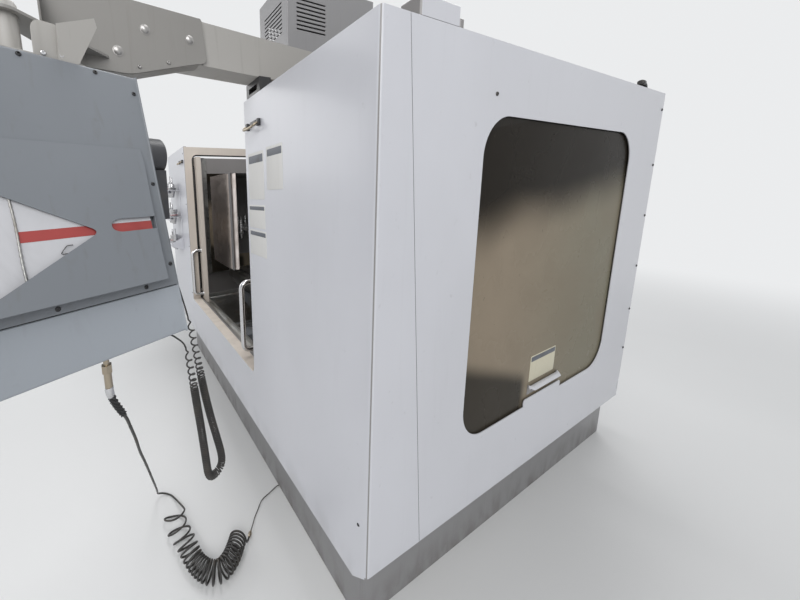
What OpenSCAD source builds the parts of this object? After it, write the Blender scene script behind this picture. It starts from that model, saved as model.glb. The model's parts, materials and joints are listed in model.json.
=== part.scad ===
// Vertical machining center: open-topped sheet-metal enclosure on a grey base tank,
// bed, saddle, T-slot table, column, spindle head, carousel tool changer and control pendant.
// X runs to the operator's right, Y to the back, Z up. The origin is on the floor,
// midway between the side panels and midway between the enclosure's front and back.

/* [Enclosure] */
// Width over the side panels
enclosure_w = 2640; // [2600:10:2700]
// Depth of the side panels, front plane to rear edge
enclosure_d = 1630; // [1610:10:1680]
// Height of the open top edge above the floor
enclosure_top = 1880; // [1860:5:1900]
// Height of the side panels' bottom edge
side_bottom = 480; // [470:2:490]
// Height of the front panel's bottom edge
front_bottom = 426; // [415:1:435]
// Thickness of the enclosure's sheet metal
sheet = 3; // [2:0.5:4]
// Outer radius of the bend at the front corners
bend_r = 9; // [6:1:14]
// Width of the front sheet's wrapped strip at the top
wrap_top = 82; // [70:2:100]
// Width of the front sheet's wrapped strip at the bottom
wrap_bottom = 206; // [190:2:220]

/* [Front opening] */
// Width of the door opening
opening_w = 1200; // [1160:10:1240]
// Height of the sill's top face
sill_z = 694; // [680:2:710]
// Depth of the jamb, and height of the beam that runs back from it
jamb_d = 55; // [50:1:60]
// Radius where the jamb turns into the beam
jamb_r = 43; // [30:1:60]
// Width of one sliding door
door_w = 620; // [605:5:640]
// Thickness of one sliding door
door_t = 35; // [30:1:40]
// Width of the door's frame round its pane
door_rim = 62; // [50:2:80]
// How far the left door stands open
door_left_open = 545; // [500:5:560]
// How far the right door stands open
door_right_open = 420; // [380:5:540]
// Height of a door handle, foot to foot
handle_h = 353; // [300:5:380]
// Diameter of a door handle's bar
handle_d = 25; // [20:1:28]
// How far a door handle stands out
handle_out = 66; // [55:1:72]

/* [Side window] */
// Width of the side window opening
window_w = 976; // [940:2:1000]
// Height of the side window opening
window_h = 970; // [930:2:990]
// Height of the opening's bottom edge
window_z = 733; // [725:1:745]
// Place of the opening's middle, front to back
window_y = 48; // [30:2:60]
// Corner radius of the opening
window_r = 112; // [90:2:130]
// Thickness of the sliding pane
pane_t = 6; // [4:1:8]
// Length of the raised tab below the pane's handle
tab_w = 264; // [220:2:280]
// Height of the raised tab
tab_h = 27; // [20:1:34]

/* [Base] */
// How far the base tank stands back from the side panels
tank_inset_x = 150; // [130:5:170]
// How far the base tank stands back from the front
tank_inset_y = 125; // [110:5:140]
// Rear end of the base tank
tank_rear_y = 1225; // [1200:5:1260]
// Height of the base tank's wall
tank_h = 470; // [450:2:474]
// Half width of the bed casting
bed_half_w = 420; // [400:5:440]
// Height of the bed's machined top
bed_top = 520; // [510:2:530]
// Height of a linear rail
rail_h = 30; // [26:1:34]
// Width of a linear rail
rail_w = 34; // [28:1:40]

/* [Table and saddle] */
// Length of the table
table_l = 1220; // [1180:10:1240]
// Width of the table
table_w = 457; // [440:1:470]
// Thickness of the table
table_h = 130; // [120:1:136]
// Table's middle, left to right, as it stands
table_x = -230; // [-260:5:-200]
// Table's middle and the spindle's axis, front to back
spindle_y = -192; // [-200:1:-186]
// Number of T-slots
t_slots = 5; // [3:1:7]
// Distance between T-slots
t_pitch = 80; // [60:1:85]
// Width of a T-slot's mouth
t_mouth = 16; // [12:1:18]
// Length of the saddle
saddle_l = 1240; // [1200:10:1260]
// Height of the saddle
saddle_h = 138; // [130:1:142]

/* [Column and head] */
// Front face of the column
column_y = 400; // [395:1:420]
// Height of the column
column_top = 2250; // [2200:10:2300]
// Half width of the column at the bed
column_half_bottom = 330; // [310:5:350]
// Half width of the column at its top
column_half_top = 230; // [210:5:250]
// Half width of the head casting
head_half_w = 160; // [150:1:165]
// Height of the head casting's underside
head_z = 1420; // [1415:1:1430]
// Height of the head casting
head_h = 640; // [600:5:680]
// Radius of the spindle's nose
nose_r = 62; // [56:1:70]
// Length of the spindle's nose below the head
nose_l = 78; // [70:1:82]
// Height of the head cover's roof
cover_top = 2690; // [2650:5:2720]

/* [Tool changer] */
// Number of tool pockets
pockets = 20; // [16:1:22]
// Radius of the pocket circle
pocket_r = 250; // [240:1:260]
// Carousel's axis, left to right
carousel_x = -710; // [-720:1:-700]
// Height of the carousel plate's underside
carousel_z = 1225; // [1215:1:1230]
// Radius of the shroud round the carousel
shroud_r = 332; // [326:1:345]
// Height of the shroud's lower edge
shroud_bottom = 930; // [920:2:960]
// Height of the shroud's roof
shroud_top = 1675; // [1650:5:1700]

/* [Pendant] */
// Height of the arm's underside
arm_z = 1930; // [1925:1:1940]
// Height of the arm
arm_h = 130; // [120:1:136]
// Width of the arm
arm_w = 100; // [90:1:110]
// Pendant's swivel axis, left to right
swivel_x = 950; // [930:2:960]
// Pendant's swivel axis, front to back
swivel_y = -1490; // [-1500:2:-1480]
// Angle the pendant's back is turned from facing right
pendant_turn = 20.9; // [15:0.1:25]
// Width of the pendant
pendant_w = 480; // [460:5:500]
// Height of the pendant's roof above the floor
pendant_top = 1815; // [1805:1:1820]
// Height of the seam between case and lower housing
seam_rise = 115; // [100:1:130]
// Height of the pendant's underside
pendant_bottom = 1180; // [1170:1:1190]
// Depth of the case in front of the swivel axis
pendant_front = 130; // [120:1:140]
// Depth of the case's back behind the axis, at the roof
pendant_back_top = 60; // [55:1:65]
// Depth of the case's back behind the axis, at the seam
pendant_back_seam = 186; // [176:1:190]

/* [Hidden] */

$fn = 32;
eps = 0.01;
gap = 0.3;
// Radial clearance of a shaft in its bearing
running_fit = 0.05;
half_w = enclosure_w / 2;
front_y = -enclosure_d / 2;
rear_y = enclosure_d / 2;
half_open = opening_w / 2;
corner_cut = side_bottom - front_bottom;
// Lower end of the left front sheet, just below the sill
left_seam_z = sill_z - 94;
seam_gap = 2;
pendant_seam = pendant_bottom + seam_rise;
// Part of the apron that stands past the left jamb's edge
sill_lap = 1;

white = [0.86, 0.87, 0.87];
cream = [0.84, 0.83, 0.78];
tank_grey = [0.45, 0.47, 0.49];
cast_grey = [0.38, 0.40, 0.42];
steel = [0.62, 0.63, 0.64];
bright = [0.82, 0.82, 0.83];
dark = [0.12, 0.12, 0.13];
pendant_blue = [0.55, 0.61, 0.66];
arm_grey = [0.74, 0.75, 0.74];

// A flat outline in X and Z, as a plate from y to y + t
module xz_plate(y, t) {
  translate([0, y + t, 0])
    rotate([90, 0, 0])
      linear_extrude(t)
        children();
}

// A flat outline in Y and Z, as a plate from x to x + t
module yz_plate(x, t) {
  translate([x, 0, 0])
    rotate([90, 0, 90])
      linear_extrude(t)
        children();
}

// The same thing on both sides of the machine
module both_sides() {
  children();
  mirror([1, 0, 0]) children();
}

// Rectangle with round corners, centred
module round_rect(w, h, r) {
  square([w - 2 * r, h], center = true);
  square([w, h - 2 * r], center = true);
  for (i = [-1, 1], j = [-1, 1])
    translate([i * (w / 2 - r), j * (h / 2 - r)]) circle(r);
}

// Concave fillet that fills an inner corner at the origin, towards +a and +b
module corner_fillet(r) {
  difference() {
    square([r, r]);
    translate([r, r]) circle(r);
  }
}

// Front sheets

// Strip wrapped round on to the side, between two heights
module wrap_strip(z0, z1) {
  polygon([[front_y + bend_r, z0], [strip_y(z0), z0], [strip_y(z1), z1], [front_y + bend_r, z1]]);
}

// The rounded bend at the right front corner
module corner_bend(z0, z1) {
  translate([half_w - bend_r, front_y + bend_r, z0])
    rotate([0, 0, -90])
      rotate_extrude(angle = 90)
        translate([bend_r - sheet, 0]) square([sheet, z1 - z0]);
}

// The right sheet, with the apron under the opening and under the left sheet
module front_right_panel() color(white) {
  xz_plate(front_y, sheet) {
    polygon([
      [half_open, enclosure_top], [half_w - bend_r, enclosure_top],
      [half_w - bend_r, side_bottom - bend_r], [half_w - corner_cut, front_bottom],
      [corner_cut - half_w, front_bottom], [bend_r - half_w, side_bottom - bend_r],
      [bend_r - half_w, left_seam_z - seam_gap], [-half_open - sill_lap, left_seam_z - seam_gap],
      [-half_open - sill_lap, sill_z], [half_open, sill_z]
    ]);
    translate([half_open, sill_z]) mirror([1, 0]) corner_fillet(30);
  }
  // Flange that folds back as the sill
  translate([-half_open - sill_lap, front_y + sheet - eps, sill_z - sheet])
    cube([opening_w + sill_lap, door_y - rail_lip - front_y - sheet + eps, sheet]);
  // Return flange along the bottom edge
  translate([corner_cut - half_w, front_y + sheet - eps, front_bottom])
    cube([enclosure_w - 2 * corner_cut, 22, sheet]);
  corner_bend(side_bottom, enclosure_top);
  yz_plate(half_w - sheet, sheet) wrap_strip(side_bottom, enclosure_top);
  // Lower left corner of the apron
  mirror([1, 0, 0]) {
    corner_bend(side_bottom, left_seam_z - seam_gap);
    yz_plate(half_w - sheet, sheet) wrap_strip(side_bottom, left_seam_z - seam_gap);
  }
  // Flange along the top edge
  translate([half_open, front_y + sheet - eps, enclosure_top - sheet])
    cube([half_w - bend_r - half_open, 20, sheet]);
}

module front_left_panel() color(white) mirror([1, 0, 0]) {
  xz_plate(front_y, sheet)
    polygon([
      [half_open, enclosure_top], [half_w - bend_r, enclosure_top],
      [half_w - bend_r, left_seam_z], [half_open + sill_lap + seam_gap, left_seam_z],
      [half_open + sill_lap + seam_gap, sill_z + seam_gap], [half_open, sill_z + seam_gap]
    ]);
  corner_bend(left_seam_z, enclosure_top);
  yz_plate(half_w - sheet, sheet) wrap_strip(left_seam_z, enclosure_top);
  translate([half_open, front_y + sheet - eps, enclosure_top - sheet])
    cube([half_w - bend_r - half_open, 20, sheet]);
}

// Depth of the front sheet's strip at a height
function strip_y(z) = front_y + wrap_bottom
  + (wrap_top - wrap_bottom) * (z - side_bottom) / (enclosure_top - side_bottom);

// Side panels and their sliding windows

lap_w = 24;
// Part of the pane behind the opening's edge
pane_margin = 26;

// Half the slot in the top flange that the pane rises through
slot_half = window_w / 2 + pane_margin + 3;

module side_panel() {
  yz_plate(half_w - sheet, sheet) {
    difference() {
      polygon([
        [front_y + wrap_bottom + seam_gap, side_bottom], [rear_y, side_bottom],
        [rear_y, enclosure_top], [front_y + wrap_top + seam_gap, enclosure_top]
      ]);
      translate([window_y, window_z + window_h / 2]) round_rect(window_w, window_h, window_r);
    }
    // Raised tab under the pane's handle
    translate([window_y, window_z + tab_h / 2 - 2]) round_rect(tab_w, tab_h + 4, 12);
  }
  // Lap behind the seam, that the front sheet's strip is screwed to
  yz_plate(half_w - 2 * sheet, sheet) polygon([
    [strip_y(side_bottom) - lap_w, side_bottom + 10], [strip_y(side_bottom) + lap_w, side_bottom + 10],
    [strip_y(enclosure_top) + lap_w, enclosure_top - 10],
    [strip_y(enclosure_top) - lap_w, enclosure_top - 10]
  ]);
  // Return flanges along the top, rear and bottom edges
  inner_x = half_w - sheet;
  difference() {
    translate([inner_x - 22, front_y + wrap_top + 14, enclosure_top - sheet])
      cube([22 + eps, enclosure_d - wrap_top - 14, sheet]);
    translate([inner_x - 23, window_y - slot_half, enclosure_top - sheet - 1])
      cube([23, 2 * slot_half, sheet + 2]);
  }
  translate([inner_x - 40, rear_y - sheet, side_bottom])
    cube([40 + eps, sheet, enclosure_top - side_bottom]);
  translate([inner_x - 26, front_y + wrap_bottom + 14, side_bottom])
    cube([26 + eps, enclosure_d - wrap_bottom - 14, sheet]);
}

module side_right_panel() color(white) side_panel();

module side_left_panel() color(white) mirror([1, 0, 0]) side_panel();

pane_x = half_w - sheet - 4 - pane_t;
guide_t = 3;
guide_w = 34;

module window_pane() {
  yz_plate(pane_x, pane_t)
    translate([window_y, window_z + window_h / 2])
      round_rect(window_w + 2 * pane_margin, window_h + 2 * pane_margin, 20);
}

module window_right() color([0.42, 0.38, 0.30, 0.6]) window_pane();

module window_left() color([0.42, 0.38, 0.30, 0.6]) mirror([1, 0, 0]) window_pane();

// Lip that the pane is lifted by, bonded to its outer face above the tab
lip_w = 205;
lip_z = window_z + tab_h + 6;
module window_lip() {
  translate([pane_x + pane_t, window_y, lip_z]) {
    yz_plate(0, 8) translate([0, 22]) round_rect(lip_w, 44, 10);
    yz_plate(8 - eps, 14) translate([0, 34]) round_rect(lip_w, 20, 9);
  }
}

module window_handle_right() color(white) window_lip();

module window_handle_left() color(white) mirror([1, 0, 0]) window_lip();

// Channels that the panes slide in, fixed to the inner faces of the side panels
module guide_channel(front) {
  y0 = window_y + (front ? -1 : 1) * (window_w / 2 + pane_margin + 2);
  dir = front ? -1 : 1;
  z0 = window_z - pane_margin - 8;
  len = enclosure_top - 12 - z0;
  depth = 4 + pane_t + 1 + guide_t;
  inner_x = half_w - sheet - depth;
  translate([inner_x, 0, z0]) linear_extrude(len) {
    translate([0, y0 - guide_w / 2]) square([guide_t, guide_w]);
    translate([0, y0 + dir * (guide_w - guide_t) / 2 - guide_t / 2]) square([depth, guide_t]);
  }
}

module window_guides() color(steel) both_sides() {
  guide_channel(true);
  guide_channel(false);
  // Stop bar that the pane's lower edge rests on
  stop_z = window_z - pane_margin - gap - 6;
  translate([half_w - sheet - 16, window_y - window_w / 2, stop_z]) cube([16, window_w, 6]);
}

// Jambs, beams, seals and track

jamb_x = 30;
module jamb_outline() {
  translate([front_y + sheet, sill_z + gap])
    square([jamb_d, enclosure_top - sheet - gap - sill_z]);
  translate([front_y + sheet, enclosure_top - sheet - jamb_d])
    square([column_y - front_y - sheet - 8, jamb_d]);
  translate([front_y + sheet + jamb_d - eps, enclosure_top - sheet - jamb_d + eps])
    mirror([0, 1]) corner_fillet(jamb_r);
}

module jamb_frames() color(cream) both_sides()
  yz_plate(half_open, jamb_x) jamb_outline();

seal = 9;
module seal_outline() {
  y0 = front_y + sheet + jamb_d + gap;
  z1 = enclosure_top - sheet - jamb_d - gap;
  r = jamb_r - gap;
  translate([y0, sill_z + gap]) square([seal, z1 - r - sill_z - gap]);
  translate([y0 + r, z1 - seal]) square([420, seal]);
  intersection() {
    translate([y0 + r, z1 - r]) difference() {
      circle(r);
      circle(r - seal);
    }
    translate([y0, z1 - r]) square([r, r]);
  }
}

module door_gaskets() color(dark) both_sides()
  yz_plate(half_open + 2, 14) seal_outline();

// Distance of the doors behind the jambs
door_back = 20;
door_y = front_y + sheet + jamb_d + door_back;
track_z = sill_z - 34;
// Thickness of the track's walls in front of and behind the doors
rail_lip = 10;
module door_track() color(steel) {
  difference() {
    translate([12 - half_w, door_y - rail_lip, track_z]) cube([enclosure_w - 24, door_t + 2 * rail_lip, sill_z - track_z]);
    translate([11 - half_w, door_y - 2, track_z + 8]) cube([enclosure_w - 22, door_t + 4, 40]);
  }
}

// Doors

door_z = track_z + 8 + gap;
// The door's top edge passes under the seal's round corner
seal_reach = sqrt(pow(jamb_r - seal, 2) - pow(jamb_r - door_back, 2));
door_top = enclosure_top - sheet - jamb_d - jamb_r + seal_reach - 4;
module door_frame() {
  h = door_top - door_z;
  difference() {
    xz_plate(door_y, door_t) translate([0, door_z]) square([door_w, h]);
    xz_plate(door_y - 1, door_t + 2)
      translate([door_w / 2, door_z + h / 2]) round_rect(door_w - 2 * door_rim, h - 2 * door_rim, 50);
    xz_plate(door_y + door_t - 12, 13)
      translate([door_w / 2, door_z + h / 2])
        round_rect(door_w - 2 * door_rim + 24, h - 2 * door_rim + 24, 55);
  }
}

module door_pane() {
  h = door_top - door_z;
  xz_plate(door_y + door_t - 12 + gap, 8)
    translate([door_w / 2, door_z + h / 2])
      round_rect(door_w - 2 * door_rim + 23, h - 2 * door_rim + 23, 54);
}

// Bar handle with two round bends, feet on the door's face
handle_z = 735;
handle_x = door_w - 30;
module bar_handle() {
  bend = 34;
  r = handle_d / 2;
  translate([handle_x, door_y - gap, 0]) {
    for (top = [0, 1]) translate([0, 0, handle_z + top * handle_h]) {
      rotate([90, 0, 0]) cylinder(r = r, h = handle_out - bend);
      translate([0, bend - handle_out, top ? -bend : bend])
        rotate([180, top ? -90 : 90, 0])
          rotate_extrude(angle = 90) translate([bend, 0]) circle(r);
      rotate([90, 0, 0]) cylinder(r = r + 5, h = 5);
    }
    translate([0, -handle_out, handle_z + bend])
      cylinder(r = r, h = handle_h - 2 * bend);
  }
}

module place_left_door() {
  translate([-door_w - door_left_open, 0, 0]) children();
}

module place_right_door() {
  mirror([1, 0, 0]) translate([-door_w - door_right_open, 0, 0]) children();
}

module door_left() color(cream) place_left_door() door_frame();
module door_right() color(cream) place_right_door() door_frame();
module door_pane_left() color([0.5, 0.5, 0.45, 0.5]) place_left_door() door_pane();
module door_pane_right() color([0.5, 0.5, 0.45, 0.5]) place_right_door() door_pane();
module door_handle_left() color(bright) place_left_door() bar_handle();
module door_handle_right() color(bright) place_right_door() bar_handle();

// Dark U-shaped catches near the opening's top corners
module panel_latches() color(dark) both_sides()
  translate([half_open + 108, front_y, enclosure_top - 106]) rotate([90, 0, 0]) {
    translate([0, 0, gap]) linear_extrude(4) round_rect(92, 22, 8);
    for (i = [-1, 1]) translate([i * 34, 0, gap]) cylinder(r = 9, h = 20);
    translate([-34, -7, 14]) cube([68, 14, 8]);
  }

// Rack for tool holders on the left front sheet
rack_x = -960;
rack_w = 240;
rack_d = 96;
rack_z = 1060;
rack_pitch = 220;
module tool_rack() color(white) translate([rack_x, front_y - gap, 0]) {
  translate([-rack_w / 2, -sheet, rack_z]) cube([rack_w, sheet, 2.5 * rack_pitch]);
  for (k = [0 : 2]) translate([0, 0, rack_z + 60 + k * rack_pitch]) {
    difference() {
      translate([-rack_w / 2, -rack_d, 0]) cube([rack_w, rack_d - sheet + eps, sheet]);
      for (i = [-1, 0, 1]) translate([i * 74, -rack_d / 2 - 6, -1]) cylinder(r = 23, h = 6);
    }
    translate([-rack_w / 2, -rack_d, -26]) cube([rack_w, sheet, 28]);
  }
  for (i = [-1, 1]) translate([i * (rack_w / 2 - sheet / 2) - sheet / 2, 0, 0])
    yz_plate(0, sheet) polygon([
      [-sheet, rack_z], [-rack_d, rack_z + 34], [-rack_d, rack_z + 63], [-sheet, rack_z + 110]
    ]);
}

// Base tank, bed and feet

tank_x = half_w - tank_inset_x;
tank_front = front_y + tank_inset_y;
tank_floor = 4;
module base_tank() color(tank_grey) difference() {
  union() {
    translate([-tank_x, tank_front, 0]) cube([2 * tank_x, tank_rear_y - tank_front, tank_h]);
    // Rolled rim
    translate([-tank_x - 8, tank_front - 8, tank_h - 22])
      cube([2 * tank_x + 16, tank_rear_y - tank_front + 16, 22]);
  }
  translate([-tank_x + sheet, tank_front + sheet, tank_floor])
    cube([2 * tank_x - 2 * sheet, tank_rear_y - tank_front - 2 * sheet, tank_h]);
}

bed_front = tank_front + 60;
bed_rear = tank_rear_y - 60;
foot_h = 40;
foot_pad = 14;
bed_bottom = tank_floor + foot_h;
module bed_casting() color(cast_grey) difference() {
  union() {
    // Stepped bed section, front to back
    xz_plate(bed_front, bed_rear - bed_front)
      polygon([
        [-bed_half_w, bed_bottom], [bed_half_w, bed_bottom], [bed_half_w, bed_bottom + 150],
        [bed_half_w - 60, bed_bottom + 200], [bed_half_w - 60, bed_top],
        [60 - bed_half_w, bed_top], [60 - bed_half_w, bed_bottom + 200],
        [-bed_half_w, bed_bottom + 150]
      ]);
    // Wide flange that carries the column
    translate([-bed_half_w, column_y - 30, bed_top - 130]) cube([2 * bed_half_w, 640, 130]);
  }
  // Cast pockets in the flanks
  for (y = [bed_front + 90 : 290 : bed_rear - 300])
    both_sides() translate([bed_half_w - 110, y, bed_bottom + 210])
      cube([120, 210, bed_top - bed_bottom - 360]);
  // Chip trough down the middle
  translate([-120, bed_front - 1, bed_top - 60]) cube([240, column_y - bed_front - 140, 61]);
  // Core openings underneath
  for (y = [bed_front + 180 : 420 : bed_rear - 200])
    translate([0, y, bed_bottom - 1]) cylinder(r = 130, h = 150);
}

foot_y = [bed_front + 80, 140, bed_rear - 90];
module levelling_feet() color(steel)
  for (x = [-1, 1], y = foot_y) translate([x * (bed_half_w - 60), y, tank_floor]) {
    cylinder(r = 45, h = foot_pad);
    translate([0, 0, foot_pad - eps]) cylinder(r = 15, h = foot_h - foot_pad + eps);
    translate([0, 0, foot_pad + 4]) cylinder(r = 26, h = 16, $fn = 6);
  }

y_rail_x = 260;
y_rail_front = bed_front + 40;
y_rail_rear = column_y - 40;
z_rail_x = 118;
z_rail_bottom = 980;
z_rail_top = 2210;
module rail_bar(l) {
  difference() {
    translate([-rail_w / 2, 0, 0]) cube([rail_w, l, rail_h]);
    for (s = [-1, 1]) translate([s * rail_w / 2, -1, rail_h * 0.55]) rotate([-90, 0, 0])
      cylinder(r = 4, h = l + 2);
  }
}

module linear_rails() color(bright) {
  for (s = [-1, 1]) translate([s * y_rail_x, y_rail_front, bed_top])
    rail_bar(y_rail_rear - y_rail_front);
  for (s = [-1, 1]) translate([s * z_rail_x, column_y, z_rail_bottom])
    rotate([90, 0, 0]) rail_bar_up();
}

module rail_bar_up() {
  translate([-rail_w / 2, 0, 0]) cube([rail_w, z_rail_top - z_rail_bottom, rail_h]);
}

// Saddle and table

saddle_z = bed_top + rail_h + gap;
saddle_top = saddle_z + saddle_h;
saddle_w = 440;
module saddle() color(cast_grey) difference() {
  xz_plate(spindle_y - saddle_w / 2, saddle_w)
    polygon([
      [-340, saddle_z], [340, saddle_z], [400, saddle_z + 60], [saddle_l / 2, saddle_top - 40],
      [saddle_l / 2, saddle_top], [-saddle_l / 2, saddle_top], [-saddle_l / 2, saddle_top - 40],
      [-400, saddle_z + 60]
    ]);
  // Trough for the table screw
  translate([-saddle_l / 2 - 1, spindle_y - 70, saddle_top - 46]) cube([saddle_l + 2, 140, 47]);
  // Relief between the rail blocks underneath
  translate([-190, spindle_y - saddle_w / 2 - 1, saddle_z - 1]) cube([380, saddle_w + 2, 40]);
}

x_rail_y = 150;
module table_rails() color(bright)
  for (s = [-1, 1]) translate([saddle_l / 2 - 10, spindle_y + s * x_rail_y, saddle_top])
    rotate([0, 0, 90]) rail_bar(saddle_l - 20);

table_z = saddle_top + rail_h + gap;
table_top = table_z + table_h;
t_deep = 30;
module table() color(steel) difference() {
  translate([table_x - table_l / 2, spindle_y, table_z]) yz_plate(0, table_l)
    polygon([
      [-table_w / 2 + 30, 0], [table_w / 2 - 30, 0], [table_w / 2, 60],
      [table_w / 2, table_h], [-table_w / 2, table_h], [-table_w / 2, 60]
    ]);
  for (i = [0 : t_slots - 1])
    translate([table_x - table_l / 2 - 1, spindle_y + (i - (t_slots - 1) / 2) * t_pitch, table_top]) {
      translate([0, -t_mouth / 2, -t_deep]) cube([table_l + 2, t_mouth, t_deep + 1]);
      translate([0, -t_mouth, -t_deep]) cube([table_l + 2, 2 * t_mouth, 13]);
    }
  // Coolant gutters along the long edges
  for (s = [-1, 1]) translate([table_x - table_l / 2 + 20, spindle_y + s * (table_w / 2 - 12) - 6, table_top - 12])
    cube([table_l - 40, 12, 13]);
  // Underside relief over the saddle trough
  translate([table_x - table_l / 2 - 1, spindle_y - 90, table_z - 1]) cube([table_l + 2, 180, 50]);
}

// Lamp box under the left beam
lamp_l = 420;
module work_light() color(arm_grey)
  translate([gap - half_open, column_y - 560, enclosure_top - sheet - jamb_d + 6]) difference() {
    rotate([-90, 0, 0]) linear_extrude(lamp_l)
      polygon([[0, 0], [70, 0], [96, 34], [96, 56], [0, 56]]);
    translate([20, 14, -60]) cube([66, lamp_l - 28, 18]);
  }

// Column and head

column_d = 560;
module column() color(cast_grey) difference() {
  union() {
    xz_plate(column_y, column_d)
      polygon([
        [-column_half_bottom, bed_top], [column_half_bottom, bed_top],
        [column_half_top, column_top], [-column_half_top, column_top]
      ]);
    translate([-column_half_bottom - 40, column_y, bed_top])
      cube([2 * column_half_bottom + 80, column_d + 30, 70]);
  }
  // Hollow behind the way face
  translate([-150, column_y + 120, bed_top + 120]) cube([300, column_d - 190, column_top - bed_top]);
  // Ballscrew slot between the rails
  translate([-70, column_y - 1, bed_top + 360]) cube([140, 60, column_top - bed_top]);
  // Cast windows through the back
  for (k = [0 : 2])
    translate([0, column_y + column_d + 1, bed_top + 220 + k * (column_top - bed_top) * 0.28])
      rotate([90, 0, 0]) cylinder(r = 100, h = 90);
}

head_back = column_y - rail_h - gap;
module spindle_head() color(cast_grey) difference() {
  union() {
    // Side profile: block round the spindle, arm back to the slides
    yz_plate(-head_half_w, 2 * head_half_w)
      polygon([
        [spindle_y - 130, head_z], [spindle_y + 150, head_z], [head_back, head_z - 60],
        [head_back, head_z + head_h], [spindle_y + 60, head_z + head_h],
        [spindle_y - 130, head_z + head_h - 120]
      ]);
  }
  // Bore for the spindle cartridge
  translate([0, spindle_y, head_z - 70]) cylinder(r = nose_r + running_fit, h = 420, $fn = 64);
  // Lightening pockets in the flanks
  both_sides() translate([head_half_w - 40, spindle_y + 190, head_z + 90]) cube([50, 300, 400]);
}

// Radius of the spindle's taper at its mouth
taper_r = 22.2;
// Ring of coolant nozzles round the spindle, under the head
module coolant_ring() color(steel) translate([0, spindle_y, head_z - 34 - gap]) difference() {
  union() {
    cylinder(r = nose_r + 34, h = 34, $fn = 64);
    for (a = [200 : 35 : 340]) rotate([0, 0, a]) translate([nose_r + 20, 0, -34])
      cylinder(r1 = 5, r2 = 9, h = 34 + eps);
  }
  translate([0, 0, -1]) cylinder(r = nose_r + gap, h = 36, $fn = 64);
}

module spindle() color(bright) translate([0, spindle_y, head_z - nose_l]) difference() {
  union() {
    cylinder(r = nose_r - 12, h = 20, $fn = 64);
    translate([0, 0, 20 - eps]) cylinder(r = nose_r, h = nose_l + 300, $fn = 64);
  }
  translate([0, 0, -1]) cylinder(r1 = taper_r + 0.3, r2 = 12.6, h = 69.3, $fn = 64);
  translate([0, 0, 60]) cylinder(r = 12.7, h = 260, $fn = 64);
}

module spindle_motor() color(dark) translate([0, spindle_y + 10, head_z + head_h + gap]) {
  translate([-105, -75, 0]) cube([210, 210, 30]);
  translate([0, 30, 30 - eps]) cylinder(r = 96, h = 330, $fn = 48);
  for (a = [0 : 15 : 345]) translate([0, 30, 40]) rotate([0, 0, a]) translate([90, -3, 0])
    cube([14, 6, 300]);
}

cover_half = head_half_w + 16;
cover_z = head_z + 60;
cover_front = spindle_y - 160;
cover_rear = head_back - 90;
module head_cover() color(tank_grey) {
  cover_shell();
  // Pads that bolt to the head's flanks
  both_sides() for (z = [cover_z + 20, cover_z + 460])
    translate([head_half_w + gap, spindle_y - 60, z]) cube([16 - sheet - gap + eps, 200, 24]);
}

module cover_shell() difference() {
  translate([-cover_half, cover_front, cover_z]) cube([2 * cover_half, cover_rear - cover_front, cover_top - cover_z]);
  translate([sheet - cover_half, cover_front + sheet, cover_z - 1])
    cube([2 * (cover_half - sheet), cover_rear - cover_front - 2 * sheet, cover_top - cover_z + 1 - sheet]);
  // Open back where the head reaches through to the column
  translate([sheet - cover_half, cover_rear - sheet - 1, cover_z - 1])
    cube([2 * (cover_half - sheet), sheet + 2, head_z + head_h + 12 - cover_z]);
  // Vent slots high on the flanks and in the front
  for (k = [0 : 7]) {
    translate([-cover_half - 1, spindle_y - 100, cover_top - 260 + k * 22]) cube([2 * cover_half + 2, 200, 8]);
    translate([-110, cover_front - 1, cover_top - 260 + k * 22]) cube([220, sheet + 2, 8]);
  }
}

// Tool changer

beam_y = 180;
beam_z = 1450;
module shuttle_rail() color(cast_grey) {
  translate([-1010, beam_y, beam_z]) cube([790, 60, 90]);
  // Bracket back to the column's front face
  translate([-290, beam_y + 60 - eps, beam_z - 30]) cube([70, column_y - beam_y - 60 - gap, 150]);
  // Rail that the carriage hangs on
  translate([-1000, beam_y - 16, beam_z + 34]) cube([770, 16 + eps, 24]);
}

carriage_half = 46;
module shuttle_carriage() color(steel) translate([carousel_x, 0, 0]) {
  // Block round the rail
  difference() {
    translate([-carriage_half, beam_y - 42, beam_z + 6]) cube([2 * carriage_half, 40, 80]);
    translate([-carriage_half - 1, beam_y - 16 - gap, beam_z + 34 - gap]) cube([2 * carriage_half + 2, 30, 24 + 2 * gap]);
  }
  // Arm forward to the carousel's axis
  yz_plate(-carriage_half, 2 * carriage_half)
    polygon([
      [beam_y - 42 + eps, beam_z + 6], [beam_y - 42 + eps, beam_z + 60], [spindle_y, beam_z - 20],
      [spindle_y - carriage_half, beam_z - 20], [spindle_y - carriage_half, beam_z - 70],
      [spindle_y, beam_z - 70]
    ]);
  // Indexing motor and hub
  translate([0, spindle_y, carousel_z + 20 + gap]) cylinder(r = 42, h = beam_z - 60 - carousel_z - 20);
}

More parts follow.
